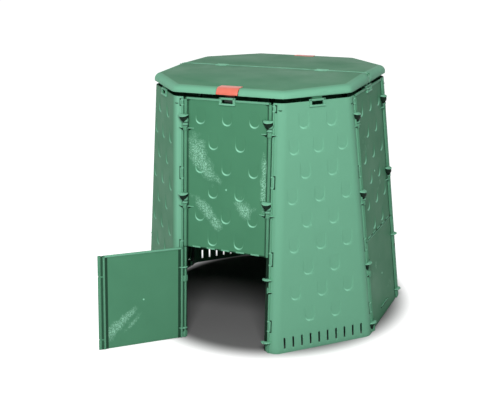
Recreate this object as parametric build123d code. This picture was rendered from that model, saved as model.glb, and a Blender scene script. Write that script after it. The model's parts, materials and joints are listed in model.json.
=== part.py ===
from build123d import *
import os
from math import atan2, cos, degrees, radians, sin, sqrt

# Compost bin in millimetres: +Z up, origin on the ground under the bin's centre, front door towards -Y.
# Eight wall panels snap together on round rods: four corner panels, and between them four upper panels
# over four doors. A two-leaf lid hinges on a bar across the middle.

# The eight-sided wall: four long sides that lean inwards, and four corner faces that narrow upwards.
WALL_HEIGHT = 960.0
HALF_ACROSS_BOTTOM = 506.0
HALF_ACROSS_TOP = 413.5
LONG_SIDE = 447.0
WALL = 4.0
CORNER_RADIUS = 40.0

# Seams: a rod on each upright edge of a side panel or door, held by clips on the corner panel's flange.
ROD_RADIUS = 6.0
ROD_SIDES = 8
ROD_INSET = 49.5
ROD_END_GAP = 8.0
BEAD_RADIUS = 4.5
BEAD_SIDES = 6
BEAD_GAP = 3.0
GROUND_GAP = 4.0

# Clips: a half-moon shelf with a hook under it that goes round the rod.
UPPER_CLIP_DROPS = (65.0, 368.0)
DOOR_CLIP_TOPS = (297.0, 46.0)
CLIP_DROP = 62.0
MOON_RADIUS = 21.5
MOON_SHIFT = 6.0
MOON_THICKNESS = 4.0
MOON_CLEARANCE = 1.2
HOOK_WALL = 3.5
HOOK_CLEARANCE = 0.5
HOOK_HEIGHT = 24.0
HOOK_MOUTH = 100.0
HOOK_SIDES = 6
MOON_SIDES = 10
SCOOP_CLEARANCE = 3.0

# Doors and the upper panels above them.
DOOR_TOP = 376.0
DOOR_GAP = 4.0
DOOR_OPEN = 130.0
RIM_HEIGHT = 8.0
RIM_DEPTH = 3.0
STRIP_INSET = 8.0
STRIP_WIDTH = 12.0
STRIP_DEPTH = 3.0
GROOVE_WIDTH = 8.0
GROOVE_DEPTH = 2.0
GRIP_WIDTH = 92.0
GRIP_REACH = 14.0
GRIP_THICKNESS = 5.0
GRIP_CORNER = 9.0
GRIP_HEIGHT = 52.0

# Tongue-shaped recesses in staggered rows, from the top row down.
TONGUE_WIDTH = 40.0
TONGUE_LENGTH = 65.0
TONGUE_DEPTH = 2.2
TONGUE_CORNER = 12.0
TONGUE_PITCH = 111.0
TONGUE_TOP_DROP = 99.0
TONGUE_ROW_PITCH = 93.5

# Roof-shaped air ribs inside the corner panels.
RIB_LEG = 58.0
RIB_HALF_ANGLE = 30.0
RIB_THICKNESS = 3.0
RIB_DEPTH = 20.0
RIB_COLUMN = 80.0
RIB_TOP_DROP = 80.0

# Air slots along the foot of each corner panel.
SLOT_COUNT = 10
SLOT_PITCH = 36.5
SLOT_WIDTH = 8.0
SLOT_LOW = 18.0
SLOT_HIGH = 62.0

# Keepers: a slotted frame standing up from the top middle of every wall panel.
KEEPER_WIDTH = 66.0
KEEPER_BELOW = 22.0
KEEPER_ABOVE = 7.0
KEEPER_PROUD = 4.0
KEEPER_SLOT_WIDTH = 46.0
KEEPER_SLOT_HEIGHT = 14.0
KEEPER_BAR = 8.0

# Lid: two leaves with a rounded rim, over an air gap above the wall.
LID_GAP = 17.0
LID_OVERHANG = 5.0
LID_RIM = 25.0
LID_RISE = 11.0
LID_WALL = 4.0
LID_ROUND = 24.0
LID_INNER_CUT = 14.0
LID_CORNER = 9.7
SEAM_EDGE = 7.0
LID_RIB_SPACING = 280.0
LID_RIB_THICKNESS = 3.0
LID_RIB_DEPTH = 22.0
FOOT_WIDTH = 40.0
FOOT_DEPTH = 13.0
FOOT_CLEARANCE = 0.6

# Centre bar and the lid hinges on it.
BAR_WIDTH = 8.0
BAR_DEPTH = 22.0
BAR_LEG = 20.0
BAR_PROUD = 1.0
TOOTH_WIDTH = 32.0
TOOTH_HEIGHT = 8.0
TOOTH_LEG = 8.0
TOOTH_REACH = 10.0
HINGE_OFFSET_Y = 11.0
HINGE_DROP = 4.0
HINGE_X = 220.0
KNUCKLE_RADIUS = 6.0
KNUCKLE_SIDES = 8
BAR_KNUCKLE = 19.0
LID_KNUCKLE = 14.0
KNUCKLE_GAP = 1.5
KNUCKLE_POCKET = 2.0
PIN_RADIUS = 3.0
PIN_CLEARANCE = 0.08
PIN_END_GAP = 0.5

# Sliding latch in a bay of the lid's rim.
LATCH_WIDTH = 88.0
LATCH_LENGTH = 49.0
LATCH_THICKNESS = 4.0
LATCH_PROUD = 1.5
LATCH_TRAVEL = 14.0
LATCH_SIDE_GAP = 2.0
BAY_WALL = 4.0
TONGUE_BOLT_WIDTH = 36.0
TONGUE_BOLT_HEIGHT = 9.0
BOLT_REST = 5.5
BOLT_LEG = 5.0
GUIDE_WIDTH = 10.0
GUIDE_HEIGHT = 5.0
GUIDE_CLEARANCE = 0.5
GUIDE_DROP = 9.0

# Worked out from the sizes above.
HALF_SIDE = LONG_SIDE / 2
CLIP_TOPS = [WALL_HEIGHT - drop for drop in UPPER_CLIP_DROPS] + list(DOOR_CLIP_TOPS)
LEAN_IN = HALF_ACROSS_BOTTOM - HALF_ACROSS_TOP
LEAN = atan2(LEAN_IN, WALL_HEIGHT)
CORNER_LEAN = atan2(LEAN_IN / sqrt(2), WALL_HEIGHT)
CORNER_BOTTOM = (HALF_ACROSS_BOTTOM + HALF_SIDE) / sqrt(2)
ROD_X = HALF_SIDE - ROD_INSET
BEAD_X = ROD_X + ROD_RADIUS + BEAD_GAP + BEAD_RADIUS
FLANGE = HALF_SIDE - BEAD_X + BEAD_RADIUS
HOOK_INNER = ROD_RADIUS + HOOK_CLEARANCE
HOOK_OUTER = HOOK_INNER + HOOK_WALL
HOOK_ROOM = HOOK_OUTER + SCOOP_CLEARANCE
WINDOW_REACH = MOON_RADIUS + MOON_SHIFT + SCOOP_CLEARANCE
PANEL_LOW = DOOR_TOP + DOOR_GAP
LID_LOW = WALL_HEIGHT + LID_GAP
LID_EDGE = LID_LOW + LID_RIM
LID_TOP = LID_EDGE + LID_RISE
LID_HALF = HALF_ACROSS_TOP + LID_OVERHANG
LID_DIAGONAL = (HALF_ACROSS_TOP + HALF_SIDE) / sqrt(2) + LID_OVERHANG
LID_SLOPE = LID_RISE / (LID_HALF - LID_ROUND)
HINGE_Z = LID_TOP - HINGE_DROP
BAY_HALF = LATCH_WIDTH / 2 + LATCH_SIDE_GAP
BAY_BACK = LID_HALF - LATCH_LENGTH - LATCH_SIDE_GAP
GUIDE_REACH = BAY_HALF + BAY_WALL - GUIDE_CLEARANCE
KEEPER_SLOT_MIDDLE = WALL_HEIGHT + KEEPER_ABOVE - KEEPER_BAR - KEEPER_SLOT_HEIGHT / 2

# Panel frames: x across the panel, y up its slope, z out of the bin.
SIDE_FRAME = Plane((0, -HALF_ACROSS_BOTTOM, 0), x_dir=(1, 0, 0), z_dir=(0, -cos(LEAN), sin(LEAN)))
CORNER_FRAME = Plane(
    (0, -CORNER_BOTTOM, 0), x_dir=(1, 0, 0), z_dir=(0, -cos(CORNER_LEAN), sin(CORNER_LEAN))
)


def half_across(z):
    """Centre to the outside of a long side at height z."""
    return HALF_ACROSS_BOTTOM - LEAN_IN * z / WALL_HEIGHT


def up(z, lean=LEAN):
    """Distance up a leaning panel to height z."""
    return z / cos(lean)


def block(x, y, z):
    """A box from three (low, high) spans."""
    size = [high - low for low, high in (x, y, z)]
    middle = [(high + low) / 2 for low, high in (x, y, z)]
    return Pos(*middle) * Box(*size)


def upright(profile, low, high):
    """A profile drawn across and out of a panel, carried up its slope from low to high."""
    return extrude(Plane.XZ.offset(-low) * profile, amount=low - high)


def tongue():
    """The cut for one tongue: a wedge with cut corners that goes deeper towards its lower lip."""
    half = TONGUE_WIDTH / 2
    outline = Pos(0, TONGUE_LENGTH / 2) * Rectangle(TONGUE_WIDTH, TONGUE_LENGTH)
    outline = chamfer(outline.vertices().sort_by(Axis.Y)[:2], TONGUE_CORNER)
    end = TONGUE_LENGTH
    slope = Polyline((-TONGUE_DEPTH, 0), (WALL, 0), (WALL, end), (0, end), close=True)
    across = Plane((0, 0, 0), x_dir=(0, 0, 1), z_dir=(-1, 0, 0))
    wedge = extrude(across * make_face(slope), amount=half, both=True)
    return wedge & extrude(Pos(0, 0, -WALL) * outline, amount=3 * WALL)


def rows_down(drop, low):
    """The heights of staggered rows, from one a drop below the wall's top down to low."""
    first = WALL_HEIGHT - drop
    count = int((first - low) / TONGUE_ROW_PITCH) + 1
    return [first - row * TONGUE_ROW_PITCH for row in range(count)]


def tongues(low, lean, odd_columns, even_columns):
    """Cuts for rows of tongues down to low, one set of columns on odd rows and another on even ones."""
    shape = tongue()
    placed = []
    for row, lip in enumerate(rows_down(TONGUE_TOP_DROP, low)):
        columns = even_columns if row % 2 else odd_columns
        placed += [Pos(column * TONGUE_PITCH, up(lip, lean)) * shape for column in columns]
    return placed


def air_ribs():
    """Staggered roof-shaped ribs on the inside of a corner panel."""
    reach = RIB_LEG * sin(radians(RIB_HALF_ANGLE))
    fall = RIB_LEG * cos(radians(RIB_HALF_ANGLE))
    wide = RIB_THICKNESS / cos(radians(RIB_HALF_ANGLE))
    deep = RIB_THICKNESS / sin(radians(RIB_HALF_ANGLE))
    outline = make_face(
        Polyline(
            (0, 0),
            (-reach, -fall),
            (-reach + wide, -fall),
            (0, -deep),
            (reach - wide, -fall),
            (reach, -fall),
            close=True,
        )
    )
    rib = extrude(Pos(0, 0, -WALL / 2) * outline, amount=-(RIB_DEPTH + WALL / 2))
    placed = []
    for row, apex in enumerate(rows_down(RIB_TOP_DROP, SLOT_HIGH + fall)):
        columns = (0,) if row % 2 else (-RIB_COLUMN, RIB_COLUMN)
        placed += [Pos(x, up(apex, CORNER_LEAN)) * rib for x in columns]
    return placed


def keeper(top):
    """The keeper's frame and the slot to cut through it, at a panel's top edge."""
    half = KEEPER_WIDTH / 2
    frame = block((-half, half), (top - KEEPER_BELOW, top + KEEPER_ABOVE), (-WALL, KEEPER_PROUD))
    slot_half = KEEPER_SLOT_WIDTH / 2
    slot_top = top + KEEPER_ABOVE - KEEPER_BAR
    slot = block(
        (-slot_half, slot_half), (slot_top - KEEPER_SLOT_HEIGHT, slot_top), (-2 * WALL, 2 * KEEPER_PROUD)
    )
    return frame, slot


def flat_sided(radius, sides):
    """A regular outline about a circle of this radius, with a flat towards +x."""
    return RegularPolygon(radius, sides, major_radius=False, rotation=180 / sides)


def clip_drop(top):
    """How far a clip reaches below its shelf: the lowest one stops above the ground."""
    return min(CLIP_DROP, top - GROUND_GAP)


def hook_span(top):
    """The (low, high) span of a clip's hook up the panel."""
    low = up(top) - clip_drop(top) + HOOK_CLEARANCE
    return low, min(low + HOOK_HEIGHT, up(top) - MOON_THICKNESS - MOON_CLEARANCE)


def clip(top, keeps_rod):
    """A corner panel's clip about a rod at x = 0, with the flange towards +x.

    The hook that keeps a rod goes round its outside. The one at a door's free edge is a cradle open to
    the outside, so that the rod swings out of it.
    """
    moon = Pos(-MOON_SHIFT, 0) * RegularPolygon(MOON_RADIUS, MOON_SIDES)
    moon &= Pos(-MOON_SHIFT, MOON_RADIUS / 2) * Rectangle(2 * MOON_RADIUS, MOON_RADIUS)
    shelf = upright(moon, up(top) - MOON_THICKNESS, up(top))
    ring = flat_sided(HOOK_OUTER, HOOK_SIDES) - flat_sided(HOOK_INNER, HOOK_SIDES)
    if keeps_rod:
        width = 2 * HOOK_OUTER * sin(radians(HOOK_MOUTH / 2))
        ring -= Pos(-HOOK_OUTER, 0) * Rectangle(HOOK_OUTER, width)
    else:
        ring &= Pos(HOOK_OUTER / 2, -HOOK_OUTER / 2) * Rectangle(HOOK_OUTER, HOOK_OUTER)
    neck_low = ROD_RADIUS + HOOK_CLEARANCE + HOOK_WALL / 2
    neck = Pos((neck_low + BEAD_X - ROD_X) / 2, -WALL / 2) * Rectangle(BEAD_X - ROD_X - neck_low, WALL)
    return [shelf, upright(ring + neck, *hook_span(top))]


def clips(hinge_edge):
    """All the clips of one flange, and its bead, about a rod at x = 0."""
    made = []
    for top in CLIP_TOPS:
        made += clip(top, hinge_edge or top > DOOR_TOP)
    bead = Pos(BEAD_X - ROD_X, 0) * flat_sided(BEAD_RADIUS, BEAD_SIDES)
    made.append(upright(bead, up(GROUND_GAP), up(WALL_HEIGHT) - GROUND_GAP))
    return made


def clips_between(low, high):
    return [top for top in CLIP_TOPS if low < top < high]


def slits(low, high):
    """Cuts that let the clips' shelves pass, about a rod at x = 0 with the panel towards -x."""
    room = MOON_CLEARANCE
    return [
        block(
            (-WINDOW_REACH, 2 * ROD_RADIUS),
            (up(top) - MOON_THICKNESS - room, up(top) + room),
            (-2 * ROD_RADIUS, 2 * ROD_RADIUS),
        )
        for top in clips_between(low, high)
    ]


def scoops(low, high):
    """Cuts under the clips' shelves in a fixed panel's edge: wide at the shelf and narrow at the hook."""
    cuts = []
    for top in clips_between(low, high):
        brow = up(top) + MOON_CLEARANCE
        sill = up(top) - clip_drop(top)
        middle = (up(top) - MOON_THICKNESS - MOON_CLEARANCE + sill) / 2
        outline = Polyline(
            (-HOOK_ROOM, sill),
            (ROD_RADIUS, sill),
            (ROD_RADIUS, brow),
            (-WINDOW_REACH, brow),
            (-WINDOW_REACH, middle),
            close=True,
        )
        cuts.append(extrude(Pos(0, 0, -3 * WALL) * make_face(outline), amount=6 * WALL))
    return cuts


def hook_rooms(low, high):
    """Cuts in a door's hinge edge, so that it turns about the hooks."""
    rooms = []
    for top in clips_between(low, high):
        hook_low, hook_high = hook_span(top)
        span = (hook_low - HOOK_CLEARANCE, hook_high + HOOK_CLEARANCE)
        rooms.append(block((-HOOK_ROOM, ROD_RADIUS), span, (-3 * WALL, 3 * WALL)))
    return rooms


def at_right(shapes):
    """Shapes made about a rod at x = 0, put at a panel's right edge."""
    return [Pos(ROD_X, 0) * shape for shape in shapes]


def at_left(shapes):
    """Shapes made about a rod at x = 0, mirrored to a panel's left edge."""
    return [mirror(shape, Plane.YZ) for shape in at_right(shapes)]


def rodded_sheet(low, high, cuts):
    """A flat panel between two heights, less its cuts, with a rod on each upright edge."""
    sheet = block((-ROD_X, ROD_X), (up(low), up(high)), (-WALL, 0)) - cuts
    rod_top = min(up(high), up(WALL_HEIGHT) - ROD_END_GAP)
    rod = [upright(RegularPolygon(ROD_RADIUS, ROD_SIDES), up(low), rod_top)]
    return sheet + at_left(rod) + at_right(rod)


def upper_panel():
    """A long side's wall above its door, in its panel frame."""
    top = up(WALL_HEIGHT)
    frame, slot = keeper(top)
    rim_half = ROD_X - WINDOW_REACH
    rim = block((-rim_half, rim_half), (top - RIM_HEIGHT, top), (-WALL / 2, RIM_DEPTH))
    edges = scoops(PANEL_LOW, WALL_HEIGHT)
    passing = slits(PANEL_LOW, WALL_HEIGHT)
    recesses = tongues(PANEL_LOW, LEAN, (-1, 0, 1), (-0.5, 0.5))
    panel = rodded_sheet(PANEL_LOW, WALL_HEIGHT, at_left(edges) + at_right(edges) + recesses)
    return panel + [frame, rim] - [slot] - at_left(passing) - at_right(passing)


def door():
    """A long side's lower door, closed, in its panel frame."""
    base = up(GROUND_GAP)
    top = up(DOOR_TOP)
    bar_high = ROD_X - STRIP_INSET
    bar_low = bar_high - STRIP_WIDTH
    inside = (-WALL - STRIP_DEPTH, -WALL / 2)
    strip = block((bar_low, bar_high), (base, top), inside)
    groove_top = top - RIM_HEIGHT
    groove = block((bar_low - GROOVE_WIDTH, bar_low), (base, groove_top), (-2 * WALL, GROOVE_DEPTH - WALL))
    lip = block((-bar_low, bar_low), (groove_top, top), inside)
    grip = Pos(0, GRIP_REACH / 2 - WALL / 4) * Rectangle(GRIP_WIDTH, GRIP_REACH + WALL / 2)
    grip = chamfer(grip.vertices().sort_by(Axis.Y)[-2:], GRIP_CORNER)
    pull = upright(grip, up(GRIP_HEIGHT) - GRIP_THICKNESS, up(GRIP_HEIGHT))
    rooms = at_left(hook_rooms(GROUND_GAP, DOOR_TOP))
    passing = slits(GROUND_GAP, DOOR_TOP)
    bars = [strip - rooms, mirror(strip, Plane.YZ) - rooms]
    panel = rodded_sheet(GROUND_GAP, DOOR_TOP, rooms + [groove, mirror(groove, Plane.YZ)])
    return panel + bars + [lip, pull] - at_left(passing) - at_right(passing)


def corner_sheet():
    """The corner panel's bent sheet: flange, corner, face, corner, flange."""
    tip = HALF_SIDE - FLANGE
    rings = []
    for z in (0, WALL_HEIGHT):
        across = half_across(z)
        start = [(tip, -across, z), (HALF_SIDE, -across, z)]
        rings.append(start + [(across, -HALF_SIDE, z), (across, -tip, z)])
    low, high = rings
    outlines = [low, high]
    for this, after in ((0, 1), (1, 2), (2, 3), (3, 0)):
        outlines.append([low[this], low[after], high[after], high[this]])
    wedge = Solid(Shell([Face(Wire.make_polygon(outline)) for outline in outlines]))
    bends = [edge for edge in wedge.edges() if edge.length > WALL_HEIGHT]
    bends.sort(key=lambda edge: edge.center().X - edge.center().Y)
    wedge = fillet(bends[-2:], CORNER_RADIUS)
    floor, *others, roof = wedge.faces().sort_by(Axis.Z)
    inside = min(others, key=lambda face: face.center().X - face.center().Y)
    return offset(wedge, amount=-WALL, openings=[floor, roof, inside])


def corner_panel():
    """The front right corner panel: left flange on the front side, right flange on the right side."""
    free_edge = [SIDE_FRAME.location * shape for shape in at_right(clips(False))]
    hinge_edge = [Rot(0, 0, 90) * SIDE_FRAME.location * shape for shape in at_left(clips(True))]
    face = Rot(0, 0, 45) * CORNER_FRAME.location
    frame, keeper_slot = keeper(up(WALL_HEIGHT, CORNER_LEAN))
    recesses = tongues(SLOT_HIGH, CORNER_LEAN, (-0.5, 0.5), (-1, 0, 1))
    slot_low = up(SLOT_LOW, CORNER_LEAN)
    slot_high = up(SLOT_HIGH, CORNER_LEAN)
    slots = [keeper_slot]
    for index in range(SLOT_COUNT):
        middle = (index - (SLOT_COUNT - 1) / 2) * SLOT_PITCH
        span = (middle - SLOT_WIDTH / 2, middle + SLOT_WIDTH / 2)
        slots.append(block(span, (slot_low, slot_high), (-2 * WALL, WALL)))
    sheet = corner_sheet() - [face * shape for shape in recesses]
    panel = sheet + free_edge + hinge_edge + [face * shape for shape in air_ribs() + [frame]]
    return panel - [face * shape for shape in slots]


def lid_block(inset, ease):
    """The front leaf as a solid, set in from its outside: half an eight-sided plate with a sloped top.

    The rim's top edges go to ease, which rounds or cuts them.
    """
    half = LID_HALF - inset
    side = (LID_DIAGONAL - inset) * sqrt(2) - half
    seam = SEAM_EDGE + inset
    left = [(-half, -seam), (-half, -side), (-side, -half)]
    right = [(-x, y) for x, y in reversed(left)]
    plan = make_face(Polyline(*left, *right, close=True))
    plan = chamfer([corner for corner in plan.vertices() if corner.Y < -2 * seam], LID_CORNER)
    plate = extrude(Pos(0, 0, LID_LOW) * plan, amount=LID_TOP - LID_LOW)
    ridge = LID_TOP - inset
    eaves = ridge - LID_SLOPE * LID_HALF
    above = Polyline((0, ridge), (-LID_HALF, eaves), (-LID_HALF, 2 * ridge), (0, 2 * ridge), close=True)
    plate -= extrude(Plane.YZ * make_face(above), amount=LID_HALF, both=True)
    top_face = plate.faces().sort_by(Axis.Z)[-1]
    return ease([edge for edge in top_face.edges() if edge.center().Y < -2 * seam])


def hinge_spans():
    """The (low, high) spans along x of the bar's knuckles and of the lid's, for a leaf's two hinges."""
    bar = []
    lid = []
    for x in (-HINGE_X, HINGE_X):
        half = BAR_KNUCKLE / 2
        bar.append((x - half, x + half))
        lid.append((x + half + KNUCKLE_GAP, x + half + KNUCKLE_GAP + LID_KNUCKLE))
        lid.append((x - half - KNUCKLE_GAP - LID_KNUCKLE, x - half - KNUCKLE_GAP))
    return bar, lid


def on_hinge_line(profile, span):
    """A profile about the front leaf's hinge line, carried over a span of x."""
    low, high = span
    start = Plane((low, -HINGE_OFFSET_Y, HINGE_Z), z_dir=(1, 0, 0))
    return extrude(start * profile, amount=high - low)


def knuckle(span):
    return on_hinge_line(flat_sided(KNUCKLE_RADIUS, KNUCKLE_SIDES), span)


def pin_hole(span):
    """Flat-sided, so that the pin bears on the middle of each flat."""
    return on_hinge_line(flat_sided(PIN_RADIUS + PIN_CLEARANCE, KNUCKLE_SIDES), span)


def lid_leaf():
    """The front leaf: a shell with ribs, feet, hinge knuckles and a bay for the latch."""
    solid = lid_block(0, lambda rim: fillet(rim, LID_ROUND))
    leaf = solid - lid_block(LID_WALL, lambda rim: chamfer(rim, LID_INNER_CUT))
    bay_low = LID_LOW - LID_GAP
    inside = []
    for side in (-1, 1):
        x = side * LID_RIB_SPACING / 2
        inside.append(
            block(
                (x - LID_RIB_THICKNESS / 2, x + LID_RIB_THICKNESS / 2),
                (-LID_HALF, -SEAM_EDGE),
                (LID_EDGE - LID_RIB_DEPTH, LID_TOP),
            )
        )
        cheek = sorted((side * BAY_HALF, side * (BAY_HALF + BAY_WALL)))
        inside.append(block(cheek, (-LID_HALF, -BAY_BACK), (LID_LOW, LID_TOP)))
    back_half = BAY_HALF + BAY_WALL
    inside.append(block((-back_half, back_half), (-BAY_BACK, BAY_WALL - BAY_BACK), (LID_LOW, LID_TOP)))
    leaf += [piece & solid for piece in inside]
    foot_low = WALL_HEIGHT + KEEPER_ABOVE + FOOT_CLEARANCE
    foot_out = LID_DIAGONAL - LID_WALL - KEEPER_PROUD / 2
    foot_high = LID_EDGE - LID_ROUND / 2
    foot_half = FOOT_WIDTH / 2
    foot = block((-foot_half, foot_half), (-foot_out, FOOT_DEPTH - foot_out), (foot_low, foot_high))
    leaf += [Rot(0, 0, angle) * foot for angle in (-45, 45)]
    leaf -= block((-BAY_HALF, BAY_HALF), (-2 * LID_HALF, -BAY_BACK), (bay_low, 2 * LID_TOP))
    guide_y = guide_span()
    leaf -= block(
        (-2 * BAY_HALF, 2 * BAY_HALF),
        (guide_y[0] - LATCH_TRAVEL - GUIDE_CLEARANCE, guide_y[1] + GUIDE_CLEARANCE),
        (guide_z()[0] - GUIDE_CLEARANCE, guide_z()[1] + GUIDE_CLEARANCE),
    ) & block((-back_half, back_half), (-LID_HALF, -BAY_BACK), (LID_LOW, LID_TOP))
    bar_spans, lid_spans = hinge_spans()
    room = KNUCKLE_RADIUS + KNUCKLE_POCKET
    for low, high in bar_spans:
        leaf -= block(
            (low - KNUCKLE_GAP, high + KNUCKLE_GAP),
            (-HINGE_OFFSET_Y - room, 0),
            (HINGE_Z - room, HINGE_Z + room),
        )
    leaf += [knuckle(span) for span in lid_spans]
    return leaf - [pin_hole(span) for span in lid_spans]


def guide_span():
    """The latch guides' span along y."""
    back = LATCH_LENGTH - LID_HALF - LATCH_SIDE_GAP
    return back - GUIDE_WIDTH, back


def guide_z():
    """The latch guides' span along z."""
    return LID_EDGE - GUIDE_DROP - GUIDE_HEIGHT, LID_EDGE - GUIDE_DROP


def latch():
    """The front latch: a rounded thumb plate on the rim, with a leg and a bolt behind the wall."""
    middle = LID_ROUND - LID_HALF
    centre_z = LID_EDGE - LID_ROUND
    outer = LID_ROUND + LATCH_PROUD
    inner = outer - LATCH_THICKNESS
    back = LATCH_LENGTH - LID_HALF
    bend = sqrt(0.5)
    skin = (
        Polyline((back, centre_z + inner), (back, centre_z + outer), (middle, centre_z + outer))
        + ThreePointArc(
            (middle, centre_z + outer),
            (middle - bend * outer, centre_z + bend * outer),
            (middle - outer, centre_z),
        )
        + Line((middle - outer, centre_z), (middle - inner, centre_z))
        + ThreePointArc(
            (middle - inner, centre_z),
            (middle - bend * inner, centre_z + bend * inner),
            (middle, centre_z + inner),
        )
        + Line((middle, centre_z + inner), (back, centre_z + inner))
    )
    plate = extrude(Plane.YZ * make_face(skin), amount=LATCH_WIDTH / 2, both=True)
    half = TONGUE_BOLT_WIDTH / 2
    bolt_tip = BOLT_REST + WALL - half_across(KEEPER_SLOT_MIDDLE)
    leg_out = bolt_tip + LATCH_TRAVEL - WALL / 4
    bolt_low = KEEPER_SLOT_MIDDLE - TONGUE_BOLT_HEIGHT / 2
    leg_high = centre_z + inner + LATCH_THICKNESS / 2
    leg = block((-half, half), (leg_out, leg_out + BOLT_LEG), (bolt_low, leg_high))
    bolt = block((-half, half), (bolt_tip, leg_out + BOLT_LEG), (bolt_low, bolt_low + TONGUE_BOLT_HEIGHT))
    guides = []
    for side in (-1, 1):
        web = sorted((side * (LATCH_WIDTH / 2 - LATCH_THICKNESS), side * LATCH_WIDTH / 2))
        lug = sorted((side * (LATCH_WIDTH / 2 - LATCH_THICKNESS), side * GUIDE_REACH))
        guides.append(block(web, guide_span(), (guide_z()[0], leg_high)))
        guides.append(block(lug, guide_span(), guide_z()))
    return plate + [leg, bolt] + guides


def centre_bar():
    """The bar over the middle: legs down to the side keepers, and knuckles for both leaves."""
    bar_top = LID_TOP + BAR_PROUD
    leg_low = LID_LOW - LATCH_SIDE_GAP
    arch = Pos(0, (bar_top + leg_low) / 2) * Rectangle(2 * LID_HALF, bar_top - leg_low)
    arch = fillet(arch.vertices().sort_by(Axis.Y)[-2:], LID_ROUND)
    gap_top = bar_top - BAR_DEPTH
    arch -= Pos(0, (gap_top + leg_low) / 2) * Rectangle(2 * (LID_HALF - BAR_LEG), gap_top - leg_low)
    bar = extrude(Plane.XZ * arch, amount=BAR_WIDTH / 2, both=True)
    tooth_low = KEEPER_SLOT_MIDDLE - TOOTH_HEIGHT / 2
    leg_out = half_across(WALL_HEIGHT) - WALL - LATCH_SIDE_GAP - WALL / 4
    half = TOOTH_WIDTH / 2
    leg = block((leg_out - TOOTH_LEG, leg_out), (-half, half), (tooth_low, leg_low + WALL / 2))
    leg -= block((0, 2 * LID_HALF), (BAR_WIDTH / 2, 2 * half), (leg_low - WALL / 4, LID_TOP))
    leg -= block((0, 2 * LID_HALF), (-2 * half, -BAR_WIDTH / 2), (leg_low - WALL / 4, LID_TOP))
    tooth_high = tooth_low + TOOTH_HEIGHT
    tooth = block((leg_out - TOOTH_LEG, leg_out + TOOTH_REACH), (-half, half), (tooth_low, tooth_high))
    legs = [leg, tooth, mirror(leg, Plane.YZ), mirror(tooth, Plane.YZ)]
    bar_spans = hinge_spans()[0]
    knuckles = []
    for span in bar_spans:
        knuckles.append(knuckle(span))
        knuckles.append(block(span, (-HINGE_OFFSET_Y, 0), (HINGE_Z - KNUCKLE_RADIUS, HINGE_Z)))
    holes = [pin_hole(span) for span in bar_spans]
    knuckles += [Rot(0, 0, 180) * shape for shape in knuckles]
    holes += [Rot(0, 0, 180) * shape for shape in holes]
    return bar + legs + knuckles - holes


def hinge_pin(side):
    """A front leaf's hinge pin at the left (-1) or right (1) hinge."""
    reach = BAR_KNUCKLE / 2 + KNUCKLE_GAP + LID_KNUCKLE - PIN_END_GAP
    return on_hinge_line(Circle(PIN_RADIUS), (side * HINGE_X - reach, side * HINGE_X + reach))


def opened(panel, angle):
    """A door in its panel frame, swung outwards about the rod on its left edge."""
    return Pos(-ROD_X, 0) * Rot(0, -angle, 0) * Pos(ROD_X, 0) * panel


SIDES = ("front", "right", "back", "left")
CORNERS = ("front_right", "back_right", "back_left", "front_left")

corner = corner_panel()
upper = SIDE_FRAME.location * upper_panel()
closed_door = door()
leaf = lid_leaf()
lid_latch = latch()

nodes = {"centre_bar": centre_bar()}
for turn, (side, corner_name) in enumerate(zip(SIDES, CORNERS)):
    about = Rot(0, 0, 90 * turn)
    swing = DOOR_OPEN if side == "front" else 0
    nodes[f"corner_panel_{corner_name}"] = about * corner
    nodes[f"upper_panel_{side}"] = about * upper
    nodes[f"door_{side}"] = about * SIDE_FRAME.location * opened(closed_door, swing)
for half_turn, end in ((0, "front"), (180, "rear")):
    about = Rot(0, 0, half_turn)
    nodes[f"lid_{end}"] = about * leaf
    nodes[f"latch_{end}"] = about * lid_latch
    for side, hand in ((-1, "left"), (1, "right")):
        nodes[f"lid_hinge_pin_{end}_{hand}"] = about * hinge_pin(side)

os.makedirs("parts", exist_ok=True)
for name, shape in nodes.items():
    export_step(shape, f"parts/{name}.step")
print(f"{len(nodes)} nodes, side lean {degrees(LEAN):.2f} degrees")
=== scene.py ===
"""Compost bin: eight leaning plastic panels clipped together on rods, four doors and a two-leaf lid."""

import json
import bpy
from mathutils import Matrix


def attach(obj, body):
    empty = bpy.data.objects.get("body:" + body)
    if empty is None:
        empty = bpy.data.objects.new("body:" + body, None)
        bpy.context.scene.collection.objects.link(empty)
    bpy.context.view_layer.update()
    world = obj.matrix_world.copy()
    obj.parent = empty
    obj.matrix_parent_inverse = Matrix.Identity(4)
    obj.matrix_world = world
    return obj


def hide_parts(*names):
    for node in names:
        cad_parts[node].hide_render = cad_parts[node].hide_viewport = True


bl_info = {
    "name": "Compost Bin",
    "version": (1, 0, 0),
    "blender": (4, 5, 0),
    "location": "View3D > Sidebar > Compost Bin",
    "description": "Dresses the packed model of an eight-sided compost bin",
    "category": "Object",
}

from math import atan2, cos, degrees, pi, radians, sin, sqrt, tan

import bmesh
import bpy
import numpy as np
from mathutils import Matrix

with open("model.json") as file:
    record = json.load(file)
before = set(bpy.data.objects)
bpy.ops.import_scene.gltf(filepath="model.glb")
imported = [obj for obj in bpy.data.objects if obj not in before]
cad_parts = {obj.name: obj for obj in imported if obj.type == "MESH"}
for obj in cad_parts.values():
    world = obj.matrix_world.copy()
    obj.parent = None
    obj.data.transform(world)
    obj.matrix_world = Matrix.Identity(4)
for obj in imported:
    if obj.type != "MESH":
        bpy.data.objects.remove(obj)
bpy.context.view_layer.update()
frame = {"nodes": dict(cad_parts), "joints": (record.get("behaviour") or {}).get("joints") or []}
MM = 0.001

# Lengths in metres that count as nothing: beside a cut, and under a division.
TOLERANCE = 1e-6
TINY = 1e-9

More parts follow.
